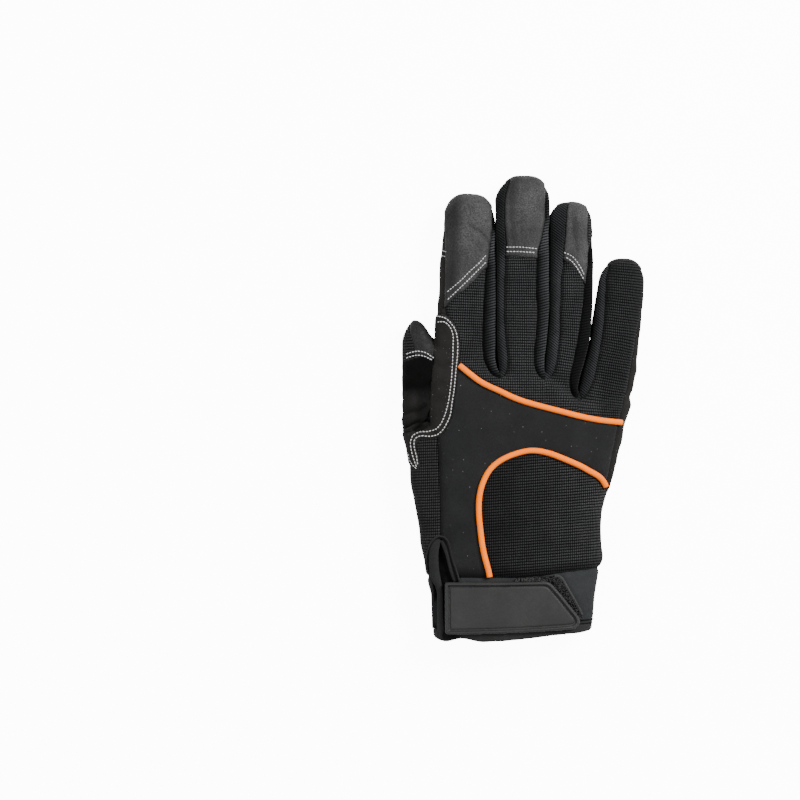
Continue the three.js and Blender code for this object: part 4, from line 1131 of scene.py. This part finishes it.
def tube_quads(m, k, rings):
    """The quads between rings of k points, the last of which may meet the first of m."""
    i, j = np.meshgrid(np.arange(rings), np.arange(k), indexing="ij")
    n, q = (i + 1) % m, (j + 1) % k
    return np.column_stack([(i * k + j).ravel(), (n * k + j).ravel(), (n * k + q).ravel(), (i * k + q).ravel()])


def swept(centres, ups, ahead, section):
    """A section of (sideways, up) points swept along a line."""
    side = unit(np.cross(ahead, ups))
    up = np.cross(side, ahead)
    section = np.asarray(section, float)
    if section.ndim == 2:
        section = np.tile(section, (len(centres), 1, 1))
    points = centres[:, None] + section[..., :1] * side[:, None] + section[..., 1:] * up[:, None]
    m, k = points.shape[:2]
    ends = []
    for row, flip in ((0, False), (m - 1, True)):
        fan = np.array([[row * k, row * k + b, row * k + b + 1] for b in range(1, k - 1)])
        ends.append(fan[:, ::-1] if flip else fan)
    return points.reshape(-1, 3), [tube_quads(m, k, m - 1)] + ends


def ring(radius, count, squash=1.0):
    a = np.arange(count) * 2 * math.pi / count
    return np.column_stack([radius * np.cos(a), radius * squash * np.sin(a)])


def combined(parts):
    points, groups, base = [], {}, 0
    for p, faces in parts:
        for f in faces:
            groups.setdefault(f.shape[1], []).append(f + base)
        points.append(p)
        base += len(p)
    return np.vstack(points), [np.vstack(g) for g in groups.values()]


def cord(curve, radius, lift, rounds, sides=8, squash=1.0):
    """A round cord laid along a curve."""
    places, ups, ahead = draped(resample(curve, 0.8), rounds)
    return swept(places + ups * lift, ups, ahead, ring(radius, sides, squash))


def stitches(curve, pitch, length, radius, lift=0.05):
    """A row of stitches: short threads lying on the cloth, their ends dipping into it."""
    places, ups, ahead = draped(resample(curve, pitch / 6), 3, TREE)
    run = run_of(places)
    parts = []
    shape = [(-1.0, 0.35, -0.9), (-0.8, 0.85, -0.1), (-0.3, 1.0, 0.35)]
    shape += [(-s, w, h) for s, w, h in shape[::-1]]
    for at in np.arange(pitch / 2, run[-1] - pitch / 3, pitch):
        here, up, way = (np.array([np.interp(at, run, v[:, k]) for k in range(3)])
                         for v in (places, ups, ahead))
        centres = np.array([here + way * length / 2 * s + up * (radius * h + lift) for s, _, h in shape])
        rows = np.array([ring(radius * w, 6) for _, w, _ in shape])
        parts.append(swept(centres, np.tile(up, (len(shape), 1)), np.tile(way, (len(shape), 1)), rows))
    return parts


# Piping.
for name, curve in (("upper_piping", UPPER_PIPING), ("lower_piping", LOWER_PIPING)):
    piece(name, *cord(curve, 1.53, 0.75, 12, 14, 0.95), "piping", "piping")

# Stitches.
HEM_STITCHES = [
    [(-40.8, 62.0), (-33.9, 67.8), (-28.6, 73.1), (-23.3, 77.9), (-19.6, 82.2)],
    [(-40.6, 57.9), (-30.7, 67.3), (-25.4, 72.6), (-19.6, 78.4)],
    [(-9.4, 85.9), (-1.6, 85.8), (7.0, 85.0)],
    [(-9.2, 83.6), (-1.6, 83.4), (6.9, 82.9)],
    [(21.2, 83.2), (25.4, 81.1), (29.7, 75.8), (32.3, 70.5)],
    [(22.3, 80.6), (25.4, 78.4), (29.7, 72.6), (31.8, 68.9)],
    [(-62.5, 29.2), (-59.4, 30.2), (-56.2, 30.7), (-53.0, 30.2), (-47.7, 27.0)],
    [(-62.5, 27.0), (-59.4, 28.1), (-56.2, 28.6), (-53.0, 28.1), (-47.7, 25.4)],
    [(-44.2, 84.5), (-42.7, 84.2), (-41.0, 83.4)],
    [(-44.2, 81.8), (-42.7, 81.4), (-41.0, 80.8)],
    [(-61.2, -23.6), (-60.7, -26.5), (-59.0, -29.7), (-57.0, -31.6)],
]
seams = []
for rows, *thread in (((PATCH_OUTER_STITCH, PATCH_INNER_STITCH), 1.76, 1.36, 0.29),
                      (HEM_STITCHES, 1.7, 1.3, 0.28)):
    for curve in rows:
        seams += stitches(curve, *thread)
piece("stitches", *combined(seams), "thread", "suede", False)

# The binding round the mouth.

mouth_pairs = pairs[open_edge]
links = {}
for a, b in mouth_pairs:
    links.setdefault(a, []).append(b)
    links.setdefault(b, []).append(a)
start = mouth_pairs[0][0]
loop, last = [start], None
while True:
    onward = [n for n in links[loop[-1]] if n != last]
    last = loop[-1]
    if not onward or onward[0] == start:
        break
    loop.append(onward[0])
line = eased(resample(body_points[loop], 1.0, True)[:-1], 6)
_base, out_dir = slope_of(line)
out_dir[:, 1] = 0
out_dir = eased(unit(out_dir), 4)
flat = line[:, [0, 2]] - line[:, [0, 2]].mean(0)
turn = np.cross(flat, np.roll(flat, -1, 0)).sum()
# The section of the binding: how far in from the mouth, and how far out from the cloth.
HEM = [
    (4.6, 0.35), (4.4, 0.95), (2.4, 1.15), (0.4, 1.05), (-0.7, 0.45), (-0.9, -0.7), (-0.6, -1.9), (0.4, -2.5),
    (2.4, -2.6), (4.4, -2.4), (4.6, -1.9),
]
inward = np.array([0.0, 1.0, 0.0])
levels = {}
for a in sorted({a for a, _b in HEM}):
    q = line + inward * max(a, 0.0)
    for _ in range(4):
        f, g = slope_of(q)
        g[:, 1] = 0
        q = q - np.clip(f / np.maximum((g * g).sum(1), 0.05), -0.4, 0.4)[:, None] * g
    levels[a] = eased(q, 4) + inward * min(a, 0.0)
hem_points = np.stack([levels[a] + out_dir * b for a, b in HEM], axis=1)
m, k = hem_points.shape[:2]
hem_quads = tube_quads(m, k, m)
if turn > 0:
    hem_quads = hem_quads[:, ::-1]
hem_points = hem_points.reshape(-1, 3)
# Painted shadow on the binding under the strap's tab.
tab_shadow = smooth(hem_points[:, 0], -46.0, -43.5) * (1 - smooth(hem_points[:, 0], -37.0, -31.0))
piece("cuff_hem", hem_points, hem_quads, "binding", "binding", marks=1 - 0.8 * tab_shadow)

# The strap.

TAB = rounded([
    (-42.1, -92.4), (-41.3, -91.5), (-12.7, -91.4), (11.7, -90.9), (14.3, -92.2), (19.1, -97.5),
    (23.9, -103.6), (28.6, -109.4), (29.7, -111.8), (29.3, -114.2), (26.5, -116.4), (19.1, -117.0),
    (-2.1, -118.2), (-23.3, -119.0), (-40.8, -119.5), (-41.9, -118.2),
], 0.5, 2)
BASE = rounded([
    (-28.6, -93.0), (-7.0, -92.4), (-3.6, -89.0), (12.7, -88.5), (17.5, -87.7), (20.1, -89.6), (25.2, -97.0),
    (28.9, -104.4), (31.3, -109.2), (29.2, -112.9), (20.1, -115.5), (-28.6, -116.6),
], 0.5, 4)


def depth_in(outline, x, y):
    """How far inside an outline plan points lie, negative outside."""
    d = nearest(np.column_stack([x, y, np.zeros(len(x))]), [(*t, 0) for t in outline])
    return np.where(inside(outline, x, y), d, -d)


def laid(name, outline, profile, look, step, wall=0.5):
    """A flat piece laid on the cuff: profile gives its height from the depth inside the outline."""
    lo, hi = outline.min(0) - 1.5, outline.max(0) + 1.5
    xs, ys = np.arange(lo[0], hi[0], step), np.arange(lo[1], hi[1], step)
    gx, gy = np.meshgrid(xs, ys, indexing="ij")
    ground = np.full(gx.shape, np.nan)
    for i in range(len(xs)):
        for j in range(len(ys)):
            hit = drop(xs[i], ys[j])
            if hit is not None:
                ground[i, j] = hit[0][2] + 0.4
    ground = np.where(np.isnan(ground), np.nanmean(ground), ground)
    for _ in range(int(3.0 / step) ** 2):
        padded = np.pad(ground, 1, mode="edge")
        ground = (padded[:-2, 1:-1] + padded[2:, 1:-1] + padded[1:-1, :-2] + padded[1:-1, 2:]) / 4
    deep = depth_in(outline, gx.ravel(), gy.ravel()).reshape(gx.shape)

    def at(p, table):
        u = np.clip((p[:, 0] - xs[0]) / step, 0, len(xs) - 1.001)
        v = np.clip((p[:, 1] - ys[0]) / step, 0, len(ys) - 1.001)
        i, j = u.astype(int), v.astype(int)
        u, v = u - i, v - j
        return ((1 - u) * (1 - v) * table[i, j] + u * (1 - v) * table[i + 1, j]
                + (1 - u) * v * table[i, j + 1] + u * v * table[i + 1, j + 1])

    def function(p):
        h = p[:, 2] - at(p, ground)
        d = at(p, deep)
        top = h - np.interp(d, *zip(*profile))
        side = -d
        f = np.maximum(top, side) + np.maximum(0, wall - np.abs(top - side)) ** 2 / (4 * wall)
        return np.maximum(f, 0.0 - h)

    z0, z1 = ground.min() - 1.0, ground.max() + max(h for _, h in profile) + 1.0
    points, quads = surface_net(function, (lo[0], lo[1], z0), (hi[0], hi[1], z1), (step, step, 0.35))
    for _ in range(3):
        base = function(points)
        g = np.column_stack([function(points + np.eye(3)[k] * 0.05) - base for k in range(3)]) / 0.05
        points = points - (base / np.maximum((g * g).sum(1), 0.1))[:, None] * g * 0.8
        mean, _number = averaged(points, np.unique(edges_of(quads)[0], axis=0), len(points))
        points = points * 0.75 + mean * 0.25
    piece(name, points, quads, look, look)


laid("strap_base", BASE, [(0, 1.2), (2, 1.4), (9, 1.4)], "hook_tape", 0.6)
laid("strap_tab", TAB, [(0, 2.9), (0.7, 3.7), (1.6, 3.75), (2.1, 2.5), (2.6, 2.3), (3.2, 2.8), (9, 2.9)],
     "strap_rubber", 0.5)


# The vent: a ridge round it, the turned-in band down its left side and under the strap, and its right lining.

def band(rows, height, lift):
    """A soft band laid along a curve, from rows of X, Y and width."""
    line = resample(rows, 0.7)
    line = line[[drop(x, y) is not None for x, y, _ in line]]
    places, ups, ahead = draped(line[:, :2], 10)
    rows = np.array([ring(1.0, 14) * (w / 2, height) for w in line[:, 2]])
    return swept(places + ups * lift, ups, ahead, rows)


RIDGE = [
    (-51.0, -84.3), (-51.3, -77.9), (-50.1, -72.6), (-47.5, -68.5), (-44.0, -67.1), (-41.3, -68.3),
    (-39.2, -72.3), (-37.6, -79.0), (-35.8, -85.3), (-34.2, -90.9),
]
GROOVE_SHADE = [
    (-50.2, -84.3), (-50.6, -77.9), (-49.5, -73.1), (-47.1, -69.3), (-44.0, -68.1), (-42.0, -69.1),
    (-40.3, -72.9), (-38.7, -79.5), (-36.9, -85.9), (-35.3, -91.2),
]
# The soft bands: X, Y and width.
TONGUE = [
    (-44.5, -69.2, 1.4), (-46.2, -70.6, 4.0), (-47.5, -74.0, 4.9), (-47.9, -79.0, 5.3), (-47.6, -84.3, 5.4),
    (-46.9, -89.4, 5.5), (-45.4, -92.8, 4.1), (-44.5, -97.0, 3.5), (-44.4, -103.9, 3.8), (-44.2, -111.8, 4.1),
    (-43.8, -118.7, 4.2), (-42.9, -122.4, 3.2),
]
FOLDED_EDGE = [
    (-49.4, -89.0, 1.2), (-48.5, -92.8, 1.9), (-48.0, -97.0, 2.1), (-47.7, -103.9, 2.1), (-47.4, -111.8, 2.0),
    (-47.2, -117.1, 1.6),
]
LINING = [
    (-43.7, -69.5, 2.4), (-41.8, -72.9, 3.0), (-40.1, -77.9, 2.8), (-39.0, -82.7, 2.8), (-37.7, -86.9, 2.9),
    (-36.3, -91.4, 2.9),
]
vent_parts = [band(TONGUE, 1.1, 0.1), band(FOLDED_EDGE, 1.0, 0.45), cord(RIDGE, 0.55, 0.35, 6)]
# A dark cord in the groove along the ridge: painted shade.
piece("vent_groove_shade", *cord(GROOVE_SHADE, 0.4, 0.3, 6), "thread_dark", "foam_cloth", False)
piece("vent_binding", *combined(vent_parts), "lining", "binding")
# The right lining, in the darker copy of the lining: painted shade.
piece("vent_lining", *band(LINING, 0.8, -0.6), "lining_dark", "foam_cloth", False)

# The strap's fuzz and its sewn edge.
SEWN_EDGE = [
    (15.6, -88.1), (17.8, -88.0), (19.4, -89.0), (20.9, -91.4), (22.8, -94.9), (25.2, -99.1), (27.6, -103.6),
    (30.2, -109.0),
]
piece("strap_base_edge", *cord(SEWN_EDGE, 0.75, 1.7, 4), "hook_edge", "hook_tape", False)
HEM_SEAMS = [
    [(25.4, -112.1), (30.7, -111.9), (36.4, -111.6)],
    [(25.4, -114.0), (30.7, -113.7), (35.8, -113.4)],
]
hem_seams = combined([cord(curve, 0.34, 0.75, 4) for curve in HEM_SEAMS])
piece("hem_seams", *hem_seams, "thread_dark", "binding", False)
TUFT_TRIES, MOST_TUFTS = 9000, 1500
fuzz = []
xy = rng.uniform(BASE.min(0), BASE.max(0), (TUFT_TRIES, 2))
shown = (depth_in(BASE, xy[:, 0], xy[:, 1]) > 0.3) & (depth_in(TAB, xy[:, 0], xy[:, 1]) < -0.1)
OCTA = np.array([(1, 0, 0), (-1, 0, 0), (0, 1, 0), (0, -1, 0), (0, 0, 1), (0, 0, -1)], float)
OCTA_FACES = np.array([(0, 2, 4), (2, 1, 4), (1, 3, 4), (3, 0, 4), (2, 0, 5), (1, 2, 5), (3, 1, 5), (0, 3, 5)])
for x, y in xy[shown][:MOST_TUFTS]:
    hit = drop(x, y)
    if hit is None:
        continue
    size, turn = rng.uniform(0.18, 0.42), rng.uniform(0, math.pi)
    tuft = OCTA * (size, size * 0.6, size)
    c, s = math.cos(turn), math.sin(turn)
    tuft = tuft @ np.array([(c, s, 0), (-s, c, 0), (0, 0, 1)])
    fuzz.append((tuft + hit[0] + (0, 0, 1.9 + rng.uniform(-0.1, 0.25)), [OCTA_FACES]))
piece("strap_fuzz", *combined(fuzz), "hook_fuzz", "hook_tape", False, smooth=False)

# Floor, lights and camera.

# The photo's ground is pure white: the floor glows for the camera alone, and lights the glove as paper does.
floor = Look("pale_floor")
floor_look = floor.finish((0.9, 0.9, 0.9), 0.9)
floor.shader.inputs["Emission Color"].default_value = (1, 1, 1, 1)
seen = floor.node("LightPath").outputs["Is Camera Ray"]
floor.put(floor.shader.inputs["Emission Strength"], floor.times(seen, FLOOR_GLOW))
ground = mesh_of("floor", [(-30000, -30000, 0), (30000, -30000, 0), (30000, 30000, 0), (-30000, 30000, 0)],
                 np.array([[0, 1, 2, 3]]), floor_look)

world = bpy.data.worlds.new("studio")
bpy.context.scene.world = world
world.use_nodes = True
world.node_tree.nodes["Background"].inputs[0].default_value = (1, 1, 1, 1)
world.node_tree.nodes["Background"].inputs[1].default_value = SKY


def lamp(name, place, size, power):
    """A round lamp that points at the glove's origin."""
    light = bpy.data.lights.new(name, "AREA")
    light.shape = "DISK"
    light.size = size
    light.energy = power
    obj = bpy.data.objects.new(name, light)
    obj.location = place
    obj.rotation_euler = (-Vector(place)).to_track_quat("-Z", "Y").to_euler()
    bpy.context.scene.collection.objects.link(obj)


lamp("key", (1.05, 0.75, 1.15), 0.7, 66.0)
lamp("fill", (-1.1, -0.3, 1.4), 1.2, 27.0)

PHOTO_SIDE = 0.424
CENTRE = (-0.0657, 0.0048)
HEIGHT = 1.7
camera = bpy.data.cameras.new("camera")
camera.sensor_fit = "HORIZONTAL"
camera.sensor_width = 36.0
camera.lens = 36.0 * (HEIGHT - 0.02) / PHOTO_SIDE
camera.clip_end = 20
eye = bpy.data.objects.new("camera", camera)
eye.location = (*CENTRE, HEIGHT)
bpy.context.scene.collection.objects.link(eye)
bpy.context.scene.camera = eye
